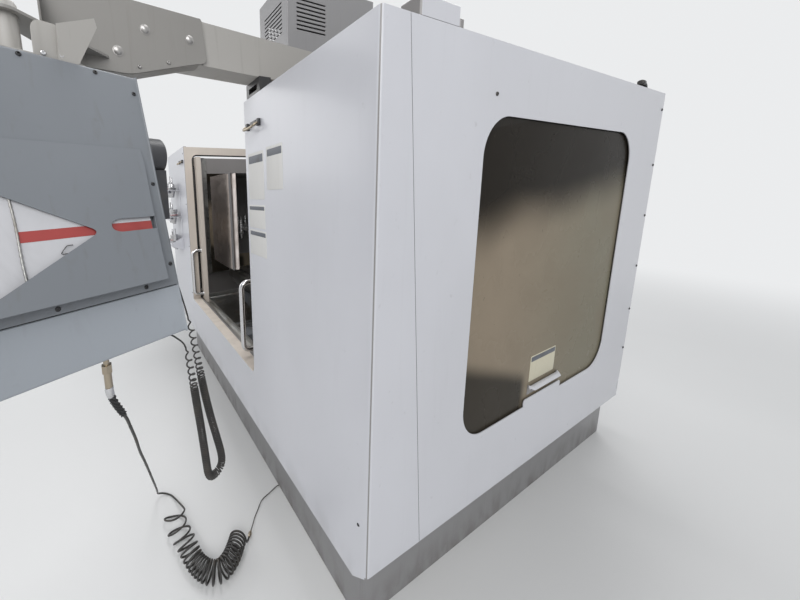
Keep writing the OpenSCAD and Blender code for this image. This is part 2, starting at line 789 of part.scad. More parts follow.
module carousel_shroud() color(tank_grey) translate([carousel_x, spindle_y, 0]) {
  h = shroud_top - shroud_bottom;
  // Half drum, then straight walls that leave the right side open for the carousel
  translate([0, 0, shroud_bottom]) linear_extrude(h) {
    difference() {
      circle(shroud_r, $fn = 96);
      circle(shroud_r - sheet, $fn = 96);
      translate([0, -shroud_r - 1]) square([shroud_r + 2, 2 * shroud_r + 2]);
      translate([-120, shroud_r - 60]) square([200, 80]);
    }
    translate([-eps, -shroud_r]) square([300, sheet]);
  }
  // Roof
  translate([0, 0, shroud_top - sheet]) linear_extrude(sheet) {
    difference() {
      circle(shroud_r, $fn = 96);
      translate([0, -shroud_r - 1]) square([shroud_r + 2, 2 * shroud_r + 2]);
    }
    translate([-eps, -shroud_r]) square([300, 2 * shroud_r]);
    translate([-200, 0]) square([160, beam_y + 44 - spindle_y]);
  }
  // Hanger to the shuttle rail
  translate([-200, beam_y - spindle_y + 4, beam_z + 90]) cube([160, 40, shroud_top - sheet - beam_z - 90 + eps]);
}

// Largest radius of a tool holder's flange, and the neck held in the pocket
flange_r = 31.7;
neck_r = 24.7;
module carousel_plate() color(steel) translate([carousel_x, spindle_y, carousel_z]) difference() {
  union() {
    cylinder(r = pocket_r + 10, h = 20, $fn = 96);
    // Fork fingers between the pockets
    for (k = [0 : pockets - 1]) rotate([0, 0, (k + 0.5) * 360 / pockets])
      translate([pocket_r - 20, -6, 4]) cube([44, 12, 12]);
  }
  for (k = [0 : pockets - 1]) rotate([0, 0, k * 360 / pockets])
    translate([pocket_r, 0, -1]) cylinder(r = neck_r + gap, h = 22);
  translate([0, 0, -1]) cylinder(r = 12, h = 22);
  for (k = [0 : 4]) rotate([0, 0, k * 72]) translate([120, 0, -1]) cylinder(r = 45, h = 22);
}

// Tapered holders standing in the pockets, one group
module tool_holders() color(bright)
  for (k = [0 : pockets - 1]) translate([carousel_x, spindle_y, carousel_z])
    rotate([0, 0, k * 360 / pockets]) translate([pocket_r, 0, 0]) holder();

module holder() {
  rotate_extrude($fn = 24)
    polygon([
      [0, -70], [21, -70], [21, -30], [flange_r, -20], [flange_r, -6], [flange_r - 3, -gap],
      [neck_r, -gap], [neck_r, 18], [taper_r, 22], [12.5, 86], [8, 90], [8, 104], [0, 104]
    ]);
}

// Rear wall between the side panels and the column, and the pans inside
function column_half(z) = column_half_bottom
  + (column_half_top - column_half_bottom) * (z - bed_top) / (column_top - bed_top);

wall_top = enclosure_top - 14;
foot_flange = column_half_bottom + 40;
module rear_wall() color(white) both_sides() {
  z0 = side_bottom + 6;
  flange_top = bed_top + 70 + gap;
  xz_plate(rear_y - 2 * sheet, sheet) polygon([
    [bed_half_w + gap, z0], [half_w - sheet - 1, z0], [half_w - sheet - 1, wall_top],
    [column_half(wall_top) + gap, wall_top], [column_half(flange_top) + gap, flange_top],
    [foot_flange + gap, flange_top], [foot_flange + gap, bed_top + gap], [bed_half_w + gap, bed_top + gap]
  ]);
  // Foot flange down to the tank's rim
  translate([bed_half_w + gap, rear_y - 2 * sheet - 24, tank_h + gap]) cube([tank_x - bed_half_w - 20, 24 + eps, sheet]);
  translate([bed_half_w + gap, rear_y - 2 * sheet, tank_h + gap]) cube([tank_x - bed_half_w - 20, sheet, z0 - tank_h]);
}

// Pans that carry the panels and lead chips and coolant to the bed's trough
pan_z = tank_h + gap;
pan_drop = 40;
module chip_pans() color(steel) {
  pan_l = rear_y - 2 * sheet - 26 - tank_front - 6;
  both_sides() xz_plate(tank_front + 6, pan_l) polygon([
    [half_w - sheet - 2, side_bottom], [tank_x + 20, side_bottom], [tank_x + 14, pan_z + sheet],
    [tank_x - 30, pan_z + sheet], [bed_half_w + 6, pan_z - pan_drop + sheet],
    [bed_half_w + 6, pan_z - pan_drop], [tank_x - 30, pan_z], [tank_x + 16, pan_z],
    [tank_x + 23, side_bottom - sheet], [half_w - sheet - 2, side_bottom - sheet]
  ]);
  // Front pan between the tank's rim and the front sheet
  translate([60 - half_w, front_y + sheet, pan_z])
    cube([enclosure_w - 120, tank_front + 6 - front_y - sheet + eps, sheet]);
  // Sloping apron below the doors
  yz_plate(-half_open, opening_w) polygon([
    [door_y + door_t + rail_lip, track_z + 10], [door_y + door_t + rail_lip, track_z + 7],
    [bed_front - 2, pan_z + 12], [bed_front - 2, pan_z + 15]
  ]);
}

// Electrical cabinet behind the column

cab_y = 1010;
cab_w = 760;
cab_d = 260;
cab_z = 620;
cab_h = 1180;
module control_cabinet() color(white) {
  difference() {
    translate([-cab_w / 2, cab_y, cab_z]) cube([cab_w, cab_d, cab_h]);
    translate([sheet - cab_w / 2, cab_y + sheet, cab_z + sheet])
      cube([cab_w - 2 * sheet, cab_d, cab_h - 2 * sheet]);
  }
  // Carriers on the column's back
  for (z = [cab_z + 60, cab_z + cab_h - 200]) translate([-120, column_y + column_d + gap, z])
    cube([240, cab_y - column_y - column_d - gap + eps, 90]);
  // Mounting plate with its contactors
  translate([60 - cab_w / 2, cab_y + sheet - eps, cab_z + 60]) cube([cab_w - 120, 12, cab_h - 120]);
  for (r = [0 : 3], c = [0 : 4])
    translate([100 - cab_w / 2 + c * 115, cab_y + sheet + 12 - eps, cab_z + 120 + r * 250])
      cube([90, 110, 150]);
}

hinge_x = -cab_w / 2 - 8;
cab_door_y = cab_y + cab_d + gap;
module cabinet_door() color(white) {
  translate([-cab_w / 2, cab_door_y, cab_z]) {
    cube([cab_w, sheet, cab_h]);
    for (x = [6, cab_w - 18]) translate([x, -14, 6]) cube([12, 14 + eps, cab_h - 12]);
  }
  for (z = [cab_z + 120, cab_z + cab_h - 200]) {
    translate([hinge_x, cab_door_y + 4, z]) cylinder(r = 6, h = 80);
    translate([hinge_x, cab_door_y + 1, z]) cube([10, sheet, 80]);
  }
}

switch_x = 250;
switch_z = 1560;
module main_switch() color([0.75, 0.1, 0.08])
  translate([switch_x, cab_door_y + sheet + gap, switch_z]) rotate([-90, 0, 0]) {
    cylinder(r = 34, h = 14);
    translate([-9, -30, 14 - eps]) cube([18, 60, 18]);
  }

// Pendant arm

arm_lean = 6;
// Arm's centre line passes here, over the front sheet's top edge
arm_x = 693;
module arm_place() {
  translate([arm_x, front_y, arm_z]) rotate([0, 0, arm_lean]) children();
}

arm_front = 520;
arm_rear = 1400;
module pendant_arm() color(arm_grey) {
  arm_place() difference() {
    translate([-arm_w / 2, -arm_front, 0]) cube([arm_w, arm_front + arm_rear, arm_h]);
    translate([4 - arm_w / 2, -arm_front - 1, 4]) cube([arm_w - 8, arm_front + arm_rear - 60, arm_h - 8]);
  }
  // Side bracket from the column
  xz_plate(column_y + 40, 120) polygon([
    [column_half(arm_z - 60) + gap, arm_z - 60], [half_open + 20, arm_z - 30], [half_open + 20, arm_z + eps],
    [column_half(arm_z) + gap, arm_z + eps]
  ]);
}

// Black block between the front sheet's top edge and the arm
module arm_clamp() color(dark)
  translate([arm_x - 60, front_y, enclosure_top + gap])
    difference() {
      cube([120, 46, arm_z - enclosure_top - 2 * gap]);
      translate([24, -1, 10]) cube([72, 48, arm_z - enclosure_top - 30]);
    }

// Flat strap with round ends at a and b
module strap(a, b, r) {
  v = b - a;
  side = r * [-v[1], v[0]] / norm(v);
  translate(a) circle(r);
  translate(b) circle(r);
  polygon([a - side, a + side, b + side, b - side]);
}

// Folded plate that wraps the arm's end and reaches over to the swivel
plate_t = 6;
plate_z = arm_z - 32;
bracket_l = 330;
module end_bracket() color(arm_grey) {
  arm_place() translate([0, -arm_front - 30, 0]) {
    // Cheek on the arm's flank, down to the middle of the strap's thickness
    translate([arm_w / 2 + gap, 0, plate_z + plate_t / 2 - arm_z])
      cube([plate_t, bracket_l, arm_h + 47]);
    translate([-arm_w / 2, 0, arm_h + gap])
      cube([arm_w + gap + plate_t / 2, bracket_l, plate_t]);
  }
  translate([0, 0, plate_z]) linear_extrude(plate_t) difference() {
    strap([swivel_x, swivel_y], [arm_x + 100, front_y - arm_front + 40], 70);
    translate([swivel_x, swivel_y]) circle(22);
  }
  // Upright gusset
  translate([swivel_x - 96, swivel_y + 40, plate_z + plate_t / 2]) rotate([0, 0, 58])
    cube([150, plate_t, 70]);
}

module bracket_bolts() color(bright) arm_place()
  for (p = [[-500, 96], [-430, 30], [-330, 96], [-260, 30]])
    translate([arm_w / 2 + gap + plate_t + gap, p[0], p[1]]) rotate([0, 90, 0])
      rotate_extrude($fn = 32) polygon([[0, 0], [16, 0], [14.5, 3.5], [10, 6.5], [4, 8], [0, 8]]);

// Pendant

module at_pendant() {
  translate([swivel_x, swivel_y, 0]) rotate([0, 0, pendant_turn]) children();
}

// Side profile of the case: X is depth, positive to the back
case_t = 4;
module case_profile() {
  polygon([
    [-pendant_front, pendant_top], [pendant_back_top, pendant_top],
    [pendant_back_seam, pendant_seam + 1], [-pendant_front - 20, pendant_seam + 1],
    [-pendant_front, pendant_seam + 220]
  ]);
}

module lower_profile() {
  polygon([
    [-pendant_front - 20, pendant_seam - 1], [pendant_back_seam, pendant_seam - 1],
    [pendant_back_seam + 28, pendant_bottom], [-pendant_front - 60, pendant_bottom],
    [-pendant_front - 60, pendant_bottom + key_h]
  ]);
}

module depth_plate(w) {
  translate([0, w / 2, 0]) rotate([90, 0, 0]) linear_extrude(w) children();
}

module pendant_case() color(pendant_blue) at_pendant() {
  depth_plate(pendant_w) case_profile();
  difference() {
    depth_plate(pendant_w) lower_profile();
    button_hole(stop_place, stop_stem_r);
    button_hole(start_place, button_r);
    button_hole(hold_place, button_r);
  }
  depth_plate(pendant_w - 6) translate([-pendant_front, pendant_seam - 2]) square([pendant_front + pendant_back_seam - 2, 4]);
  // Swivel post up through the bracket plate
  translate([0, 0, pendant_top - eps]) cylinder(r = 60, h = arm_z - 32 - pendant_top - gap + eps);
  translate([0, 0, pendant_top]) cylinder(r = 21.7, h = arm_z - 32 + plate_t + 20 - pendant_top);
}

// Raised plate on the back, with a diamond window and a round-ended slot
back_lean = atan((pendant_back_seam - pendant_back_top) / (pendant_top - pendant_seam));
module manual_pocket() color(pendant_blue) at_pendant()
  translate([pendant_back_top, 0, pendant_top]) rotate([0, -back_lean, 0])
    translate([gap, 0, 0]) rotate([90, 0, 90]) difference() {
      linear_extrude(26)
        translate([-20, -360]) square([400, 300], center = true);
      translate([0, 0, -1]) linear_extrude(24)
        translate([-20, -352]) square([392, 300], center = true);
      translate([0, 0, 10]) linear_extrude(30) {
        translate([-110, -330]) rotate(45) square([116, 116], center = true);
        translate([70, -330]) round_rect(130, 34, 16.8);
      }
    }

// Screen and key panel on the front
module control_face() color(dark) at_pendant() {
  translate([-pendant_front - 8, -190, pendant_seam + 230]) cube([8 - gap, 380, 260]);
  // Key plate, cut out round the buttons
  difference() {
    translate([key_face - gap - key_plate, -210, pendant_bottom + 4]) cube([key_plate, 300, key_h - 8]);
    button_hole(stop_place, stop_stem_r);
    button_hole(start_place, button_r);
    button_hole(hold_place, button_r);
  }
}

module jog_wheel() color(dark) at_pendant()
  translate([key_face - gap, 150, key_z]) rotate([0, -90, 0]) {
    cylinder(r = 21, h = 14);
    translate([14, 0, 14 - eps]) cylinder(r = 5, h = 10);
  }

// Buttons stand in round holes in the lower housing's front
stop_place = -150;
start_place = -60;
hold_place = -10;
stop_stem_r = 12;
button_r = 13;
button_seat = 8;
key_face = -pendant_front - 60;
key_h = 45;
key_plate = 3;
key_z = pendant_bottom + key_h / 2;
module panel_button(y, r, out) {
  translate([key_face + button_seat, y, key_z]) rotate([0, -90, 0])
    cylinder(r = r, h = button_seat + out);
}

module button_hole(y, r) {
  translate([key_face + button_seat + 6, y, key_z]) rotate([0, -90, 0])
    cylinder(r = r + gap, h = button_seat + 6 + 2 * key_plate);
}

module emergency_stop() color([0.8, 0.08, 0.06]) at_pendant() {
  panel_button(stop_place, stop_stem_r, 14);
  translate([key_face - 14 + eps, stop_place, key_z]) rotate([0, -90, 0]) cylinder(r = 20, h = 10);
}

module start_button() color([0.1, 0.5, 0.2]) at_pendant() panel_button(start_place, button_r, 9);
module hold_button() color([0.75, 0.12, 0.1]) at_pendant() panel_button(hold_place, button_r, 9);

// Remote jog handle with its round head, clipped to the pendant's right flank
jog_z = 1455;
jog_head_r = 46;
jog_depth = 42;
module jog_box() color(dark) at_pendant() translate([65, pendant_w / 2 + gap, jog_z]) {
  translate([-35, 0, 0]) cube([70, jog_depth, 130]);
  translate([0, 0, 130 + jog_head_r - 8]) rotate([-90, 0, 0]) cylinder(r = jog_head_r, h = jog_depth);
  // Strain relief of the curly cord
  translate([10, 24, -28]) cylinder(r1 = 6, r2 = 10, h = 28 + eps);
}

// Cords, with their routes' points in millimetres

// Direction, side and upright vectors of a tube at each of its points
function unit(v) = v / norm(v);
function way(p, i) = unit(p[min(i + 1, len(p) - 1)] - p[max(i - 1, 0)]);

// A tube along points p, with n sides; across is a direction that the route never takes
module tube(p, r, n, across) {
  rings = len(p);
  points = [
    for (i = [0 : rings - 1], k = [0 : n - 1])
      let (v = way(p, i), s = unit(cross(v, across)), u = cross(s, v), a = 360 * k / n)
        p[i] + r * (cos(a) * s + sin(a) * u)
  ];
  walls = [
    for (i = [0 : rings - 2], k = [0 : n - 1])
      [i * n + k, i * n + (k + 1) % n, (i + 1) * n + (k + 1) % n, (i + 1) * n + k]
  ];
  first = [for (k = [n - 1 : -1 : 0]) k];
  last = [for (k = [0 : n - 1]) (rings - 1) * n + k];
  polyhedron(points, concat([first], walls, [last]));
}

curly_r = 12.5;
curly_route = [
  [926, -1216, 1426.7], [926, -1216, 1412], [934, -1211, 1390], [946, -1201, 1345], [952, -1190, 1290],
  [954, -1177, 1230], [953, -1163, 1160], [951, -1151, 1080], [950, -1141, 1000],
  [949, -1131, 920], [950, -1117, 830], [953, -1102, 750], [954, -1093, 700],
  [955, -1091, 665], [958, -1099, 645], [966, -1117, 637], [975, -1135, 645],
  [978, -1143, 665], [978, -1146, 700], [977, -1150, 760], [975, -1155, 830],
  [974, -1161, 900], [976, -1168, 980], [981, -1176, 1050], [990, -1187, 1105],
  [1003, -1210, 1138], [1010, -1226, 1155], [1011, -1229, 1168], [1011, -1229, 1179.7]
];
module curly_cord() color(dark) tube(curly_route, curly_r, 10, [1, 0, 0]);

// Where the air hose's fitting is screwed into the pendant's underside
fitting_x = 1115;
fitting_y = -1374;
fitting_z = 1112;
hose_r = 4;
hose_route = [
  [fitting_x, fitting_y, fitting_z - gap], [fitting_x, fitting_y, fitting_z - 14], [1101, -1369, 1066], [1078, -1360, 1027],
  [1050, -1349, 980], [1013, -1342, 922], [968, -1334, 851], [915, -1327, 767],
  [854, -1316, 674], [783, -1305, 570], [697, -1293, 446], [596, -1281, 312],
  [510, -1274, 206], [440, -1270, 130], [388, -1268, 72], [356, -1262, 36], [342, -1246, 16],
  [346, -1226, 7], [364, -1205, 5], [396, -1190, 5], [432, -1183, 6],
  [450, -1182, 8], [469.6, -1182, 8]
];
// Thin lead from the coil to the foot of the base tank
lead_r = 2;
lead_route = [
  [737.6, -979.7, 5], [728.6, -971.9, 5], [690, -938, 3], [650, -893, 3], [622, -848, 3],
  [603, -802, 3], [586, -748, 3], [572, -705, 3], [572, -690.3, 3]
];
module air_hose() color(dark) {
  tube(hose_route, hose_r, 8, [0, 1, 0]);
  tube(lead_route, lead_r, 8, [0, 0, 1]);
}

// The coiled stretch of the hose, as the round shape that its turns fill
coil_r = 39;
coil_route = [
  [470, -1204, 39], [490, -1204, 39], [520, -1211, 39], [565, -1207, 39], [611, -1196, 39], [660, -1184, 39],
  [705, -1176, 39], [750, -1162, 39], [787, -1140, 39], [811, -1110, 39], [815, -1074, 39],
  [796, -1036, 39], [768, -1006, 39], [738, -980, 39]
];
module air_coil() color(dark) tube(coil_route, coil_r, 12, [0, 0, 1]);

module air_fitting() color(bright) translate([fitting_x, fitting_y, fitting_z]) {
  cylinder(r = 8, h = 34);
  translate([0, 0, 34 - eps]) cylinder(r = 11, h = 18, $fn = 6);
  translate([0, 0, 52 - 2 * eps]) cylinder(r = 6, h = pendant_bottom - fitting_z - 52 - gap);
}

base_tank();
bed_casting();
levelling_feet();
linear_rails();
column();
rear_wall();
chip_pans();
shuttle_rail();
front_right_panel();
front_left_panel();
side_right_panel();
side_left_panel();
window_guides();
jamb_frames();
door_gaskets();
door_track();
panel_latches();
tool_rack();
control_cabinet();
pendant_arm();
arm_clamp();
end_bracket();
bracket_bolts();
saddle();
table_rails();
table();
work_light();
coolant_ring();
spindle_head();
spindle_motor();
head_cover();
spindle();
shuttle_carriage();
carousel_shroud();
carousel_plate();
tool_holders();
window_right();
window_left();
window_handle_right();
window_handle_left();
door_right();
door_left();
door_pane_right();
door_pane_left();
door_handle_right();
door_handle_left();
cabinet_door();
main_switch();
pendant_case();
manual_pocket();
control_face();
jog_wheel();
emergency_stop();
start_button();
hold_button();
jog_box();
curly_cord();
air_hose();
air_coil();
air_fitting();
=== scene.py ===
"""Finish of a vertical machining center, laid out as an add-on and run as a script.

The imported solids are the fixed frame. The operators below dress them: camera, cords,
finishes, panel fasteners, window film, pendant, coolant lines, tooling and the stage.
All lengths are metres in the machine's frame: X right, Y back, Z up, floor at 0.
"""

import json
import math

import bmesh
import bpy
import numpy as np
from mathutils import Matrix, Vector, geometry

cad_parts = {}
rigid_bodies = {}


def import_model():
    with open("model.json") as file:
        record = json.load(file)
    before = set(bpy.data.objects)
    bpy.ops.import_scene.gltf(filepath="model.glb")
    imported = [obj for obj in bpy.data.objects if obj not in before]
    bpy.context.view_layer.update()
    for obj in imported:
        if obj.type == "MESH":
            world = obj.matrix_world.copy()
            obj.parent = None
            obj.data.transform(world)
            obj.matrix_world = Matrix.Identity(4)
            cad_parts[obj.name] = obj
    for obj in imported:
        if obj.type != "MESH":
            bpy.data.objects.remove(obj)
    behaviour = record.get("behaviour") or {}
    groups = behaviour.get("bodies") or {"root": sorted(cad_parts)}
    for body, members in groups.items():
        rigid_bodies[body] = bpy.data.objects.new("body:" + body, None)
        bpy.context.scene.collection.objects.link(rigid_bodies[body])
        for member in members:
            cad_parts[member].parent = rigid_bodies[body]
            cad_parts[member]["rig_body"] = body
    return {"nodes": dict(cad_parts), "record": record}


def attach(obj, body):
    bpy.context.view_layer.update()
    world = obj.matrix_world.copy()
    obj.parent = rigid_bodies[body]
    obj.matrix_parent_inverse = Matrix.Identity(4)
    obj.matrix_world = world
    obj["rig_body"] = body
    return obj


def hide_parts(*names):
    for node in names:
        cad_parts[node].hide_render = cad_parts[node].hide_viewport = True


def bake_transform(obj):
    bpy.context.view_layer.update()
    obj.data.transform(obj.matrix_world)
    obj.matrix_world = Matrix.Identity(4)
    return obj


bl_info = {
    "name": "Machining Center Finish",
    "version": (1, 0, 0),
    "blender": (4, 5, 0),
    "location": "View3D > Sidebar > Machine",
    "description": "Dresses a vertical machining center with its finishes, cords and small parts",
    "category": "Object",
}

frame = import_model()
NODES = frame["nodes"]
SLOTS = {row["node"]: row["material_slot"] for row in frame["record"]["subparts"]}
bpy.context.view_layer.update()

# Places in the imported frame, in metres
SIDE_X = 1.32                          # outer face of the side panels
FRONT_Y = -0.815                       # outer face of the front sheets
TANK_TOP = 0.4725                      # top of the tank behind the enclosure
SPINDLE_Y = -0.192                     # the spindle's axis, at X 0
PENDANT_AXIS = (0.95, -1.49)           # the pendant's swivel
ARM_ORIGIN = (0.693, FRONT_Y, 1.93)    # the arm's foot line over the front sheet
PENDANT_TURN = 20.9                    # degrees from square to the machine
ARM_TURN = 6                           # degrees from square to the machine
PANE_MID_Z = 1.2342                    # middle height of the doors' panes

UP = np.array([0, 0, 1.0])
SOFT_ANGLE = math.radians(38)          # edges that bend more than this are shown sharp
PALE = (0.83, 0.84, 0.85, 1)           # the stage's background

# Routes of the cords, the same points as the solids follow
CURLY_ROUTE = [(.926, -1.216, 1.4267), (.926, -1.216, 1.412), (.934, -1.211, 1.39),
               (.946, -1.201, 1.345), (.952, -1.19, 1.29), (.954, -1.177, 1.23),
               (.953, -1.163, 1.16), (.951, -1.151, 1.08), (.95, -1.141, 1.0),
               (.949, -1.131, .92), (.95, -1.117, .83), (.953, -1.102, .75), (.954, -1.093, .7),
               (.955, -1.091, .665), (.958, -1.099, .645), (.966, -1.117, .637),
               (.975, -1.135, .645), (.978, -1.143, .665), (.978, -1.146, .7),
               (.977, -1.15, .76), (.975, -1.155, .83), (.974, -1.161, .9), (.976, -1.168, .98),
               (.981, -1.176, 1.05), (.99, -1.187, 1.105), (1.003, -1.21, 1.138),
               (1.01, -1.226, 1.155), (1.011, -1.229, 1.168), (1.011, -1.229, 1.1797)]
HOSE_ROUTE = [
    (1.115, -1.374, 1.1117), (1.115, -1.374, 1.098), (1.101, -1.369, 1.066), (1.078, -1.36, 1.027),
    (1.05, -1.349, .98), (1.013, -1.342, .922), (.968, -1.334, .851), (.915, -1.327, .767),
    (.854, -1.316, .674), (.783, -1.305, .57), (.697, -1.293, .446), (.596, -1.281, .312),
    (.51, -1.274, .206), (.44, -1.27, .13), (.388, -1.268, .072), (.356, -1.262, .036),
    (.342, -1.246, .016), (.346, -1.226, .007), (.364, -1.205, .005), (.396, -1.19, .005),
    (.432, -1.183, .006), (.45, -1.182, .008), (.4696, -1.182, .008),
]
COIL_ROUTE = [(.47, -1.204, .039), (.49, -1.204, .039), (.52, -1.211, .039),
              (.565, -1.207, .039), (.611, -1.196, .039), (.66, -1.184, .039),
              (.705, -1.176, .039), (.75, -1.162, .039), (.787, -1.14, .039),
              (.811, -1.11, .039), (.815, -1.074, .039), (.796, -1.036, .039),
              (.768, -1.006, .039), (.738, -.98, .039)]
LEAD_ROUTE = [
    (.7376, -.9797, .005), (.7286, -.9719, .005), (.69, -.938, .003), (.65, -.893, .003),
    (.622, -.848, .003), (.603, -.802, .003), (.586, -.748, .003), (.572, -.705, .003),
    (.572, -.6903, .003),
]


def colour_property(text, value):
    """A colour that a user may change, as linear red, green and blue."""
    return bpy.props.FloatVectorProperty(
        name=text, description=f"Colour of the {text.lower()}", default=value,
        subtype="COLOR", size=3, min=0.0, max=1.0)


def length_property(text, value):
    """A length in metres that a user may change."""
    return bpy.props.FloatProperty(
        name=text, description=f"{text}, in metres", default=value, min=0.0, unit="LENGTH")


class MachineColours(bpy.types.PropertyGroup):
    """Colours of the machine's finishes."""
    enclosure: colour_property("Enclosure paint", (0.600, 0.604, 0.640))
    cream: colour_property("Door and jamb paint", (0.640, 0.575, 0.510))
    tank: colour_property("Tank and shroud paint", (0.262, 0.258, 0.262))
    casting: colour_property("Casting paint", (0.150, 0.158, 0.168))
    # The pendant's upper case is painted darker than its lower housing from this one paint:
    # painted shade on the case, painted light on the housing.
    pendant: colour_property("Pendant paint", (0.182, 0.196, 0.214))
    arm: colour_property("Arm paint", (0.400, 0.385, 0.362))
    grime: colour_property("Shop grime", (0.105, 0.085, 0.062))
    film: colour_property("Window film", (0.270, 0.222, 0.165))
    floor: colour_property("Studio floor", (0.740, 0.740, 0.735))


class MachineSizes(bpy.types.PropertyGroup):
    """Sizes of the pieces that are made here."""
    curly_turn: length_property("Curly cord turn radius", 0.0102)
    curly_wire: length_property("Curly cord thickness", 0.0046)
    curly_pitch: length_property("Curly cord pitch", 0.0064)
    hose_thickness: length_property("Air hose thickness", 0.008)
    hose_turn: length_property("Air hose turn radius", 0.036)
    lead_thickness: length_property("Thin lead thickness", 0.004)
    screw_head: length_property("Panel screw head radius", 0.0055)


def colours():
    """The colours in use."""
    return bpy.context.scene.machine_colours


def sizes():
    """The sizes in use."""
    return bpy.context.scene.machine_sizes


# Shapes worked out as arrays

def unit(v):
    """Vectors divided by their lengths."""
    return v / np.linalg.norm(v, axis=-1, keepdims=True)


def ease(t):
    """The smooth step 3t^2 - 2t^3, with t held between 0 and 1."""
    t = np.clip(t, 0.0, 1.0)
    return t * t * (3 - 2 * t)


def smooth_path(route, step):
    """The Catmull-Rom curve through a route, a cubic of four neighbouring points per span,
    sampled evenly along its length."""
    p = np.asarray(route, float)
    p = np.vstack([2 * p[0] - p[1], p, 2 * p[-1] - p[-2]])
    a, b, c, d = p[:-3, None], p[1:-2, None], p[2:-1, None], p[3:, None]
    per_span = 32
    t = np.linspace(0, 1, per_span + 1)[None, :-1, None]
    q = (b + (c - a) * t / 2 + (2 * a - 5 * b + 4 * c - d) * t ** 2 / 2
         + (3 * b - a - 3 * c + d) * t ** 3 / 2)
    q = np.vstack([q.reshape(-1, 3), p[-2]])
    return even_path(q, step)


def even_path(points, step):
    """A polyline sampled again at an even distance along it."""
    s = along(points)
    n = max(2, int(round(s[-1] / step)) + 1)
    u = np.linspace(0, s[-1], n)
    return np.stack([np.interp(u, s, points[:, k]) for k in range(3)], 1)


def along(points):
    """Distance along a polyline at each of its points."""
    return np.concatenate([[0], np.cumsum(np.linalg.norm(np.diff(points, axis=0), axis=1))])


def directions(points):
    """Unit direction of a polyline at each of its points, from its neighbours."""
    return unit(np.gradient(points, axis=0))


def cross_axes(v, across):
    """Two unit axes square to each direction v: v crossed with across, and its complement."""
    side = unit(np.cross(v, across))
    return side, np.cross(side, v)


def swept(angle, x, y):
    """cos(angle) x + sin(angle) y, for each angle of a list."""
    return np.cos(angle)[:, None] * x + np.sin(angle)[:, None] * y


def winding(d, pitch):
    """The running total of turns along a distance d, in radians, where the pitch varies."""
    return np.concatenate([[0], np.cumsum(np.diff(d) / pitch[1:])]) * 2 * np.pi


def mirrored(half):
    """A route whose second half is the mirror image in X of its first."""
    return half + [(-x, y, z) for x, y, z in half[::-1]]


def curvature(points, reach):
    """How fast a polyline turns, in radians a metre, averaged over neighbours within reach."""
    bend = np.linalg.norm(np.gradient(directions(points), axis=0), axis=1)
    bend /= np.gradient(along(points))
    window = np.full(2 * reach + 1, 1 / (2 * reach + 1))
    return np.convolve(np.pad(bend, reach, "edge"), window, "valid")


def round_angles(count):
    """Angles spread evenly round a full turn, in radians."""
    return np.linspace(0, 2 * np.pi, count, endpoint=False)


def tube_grid(path, radius, sides, across):
    """Rings of points round a path: r (cos a * s + sin a * u), where s is the path's direction
    crossed with across, and u completes the frame. radius may change along the path."""
    s, u = cross_axes(directions(path), across)
    a = round_angles(sides)[None, :, None]
    r = np.broadcast_to(np.asarray(radius, float), (len(path),))[:, None, None]
    return path[:, None] + r * (np.cos(a) * s[:, None] + np.sin(a) * u[:, None])


def lathe_grid(profile, sides):
    """A profile of (radius, height) pairs turned about Z: r (cos a, sin a), h."""
    p = np.asarray(profile, float)
    a = round_angles(sides)
    ring = np.stack([np.cos(a), np.sin(a)], -1)
    r = np.maximum(p[:, 0], 1e-6)  # a ring on the axis stays a ring until doubles are merged
    xy = r[:, None, None] * ring[None]
    z = np.broadcast_to(p[:, 1][:, None, None], (len(p), sides, 1))
    return np.concatenate([xy, z], -1)


def placed(points, origin, normal):
    """Points of a shape that stands on Z, carried to an origin so that Z becomes normal."""
    n = unit(np.asarray(normal, float))
    helper = UP if abs(n[2]) < 0.9 else np.array([0, 1.0, 0])
    x = unit(np.cross(helper, n))
    return points @ np.stack([x, np.cross(n, x), n]) + np.asarray(origin, float)


def outline_grid(outline, heights, insets):
    """A closed flat outline stacked at heights, each ring moved inwards along its corners'
    bisectors by its inset, as a plate with rounded edges. The outline runs anticlockwise."""
    p = np.asarray(outline, float)
    before = unit(p - np.roll(p, 1, 0))
    after = unit(np.roll(p, -1, 0) - p)
    n1 = np.stack([-before[:, 1], before[:, 0]], -1)
    n2 = np.stack([-after[:, 1], after[:, 0]], -1)
    inward = (n1 + n2) / np.maximum(1 + np.sum(n1 * n2, -1, keepdims=True), 0.2)
    rings = [np.concatenate([p + i * inward, np.full((len(p), 1), h)], 1)
             for h, i in zip(heights, insets)]
    return np.stack(rings)


def rim(g):
    """The four edges of a grid, in order round it."""
    return np.concatenate([g[:, 0], g[-1, 1:], g[-2::-1, -1], g[0, -2:0:-1]])


def spread(first, second):
    """Two spans, each (from, to, count), spread over the rows and columns of a grid."""
    return np.meshgrid(np.linspace(*first), np.linspace(*second), indexing="ij")


def round_rect(w, h, r, steps=6):
    """Outline of a rectangle w by h with corner radius r, centred, anticlockwise."""
    a = np.linspace(0, np.pi / 2, steps)
    arc = r * np.stack([np.cos(a), np.sin(a)], -1)
    corners = [(w / 2 - r, h / 2 - r, 0), (r - w / 2, h / 2 - r, 1),
               (r - w / 2, r - h / 2, 2), (w / 2 - r, r - h / 2, 3)]
    turned = [arc @ np.array([[math.cos(k * math.pi / 2), math.sin(k * math.pi / 2)],
                              [-math.sin(k * math.pi / 2), math.cos(k * math.pi / 2)]])
              + (x, y) for x, y, k in corners]
    return np.vstack(turned)


def outward(mesh, merge=1e-6, change=None):
    """Merges doubles, makes a change to the faces where one is given, and turns each closed
    shell's faces outwards."""
    bm = bmesh.new()
    bm.from_mesh(mesh)
    bmesh.ops.remove_doubles(bm, verts=bm.verts, dist=merge)
    if change:
        change(bm)
    bmesh.ops.recalc_face_normals(bm, faces=bm.faces)
    bm.to_mesh(mesh)
    bm.free()


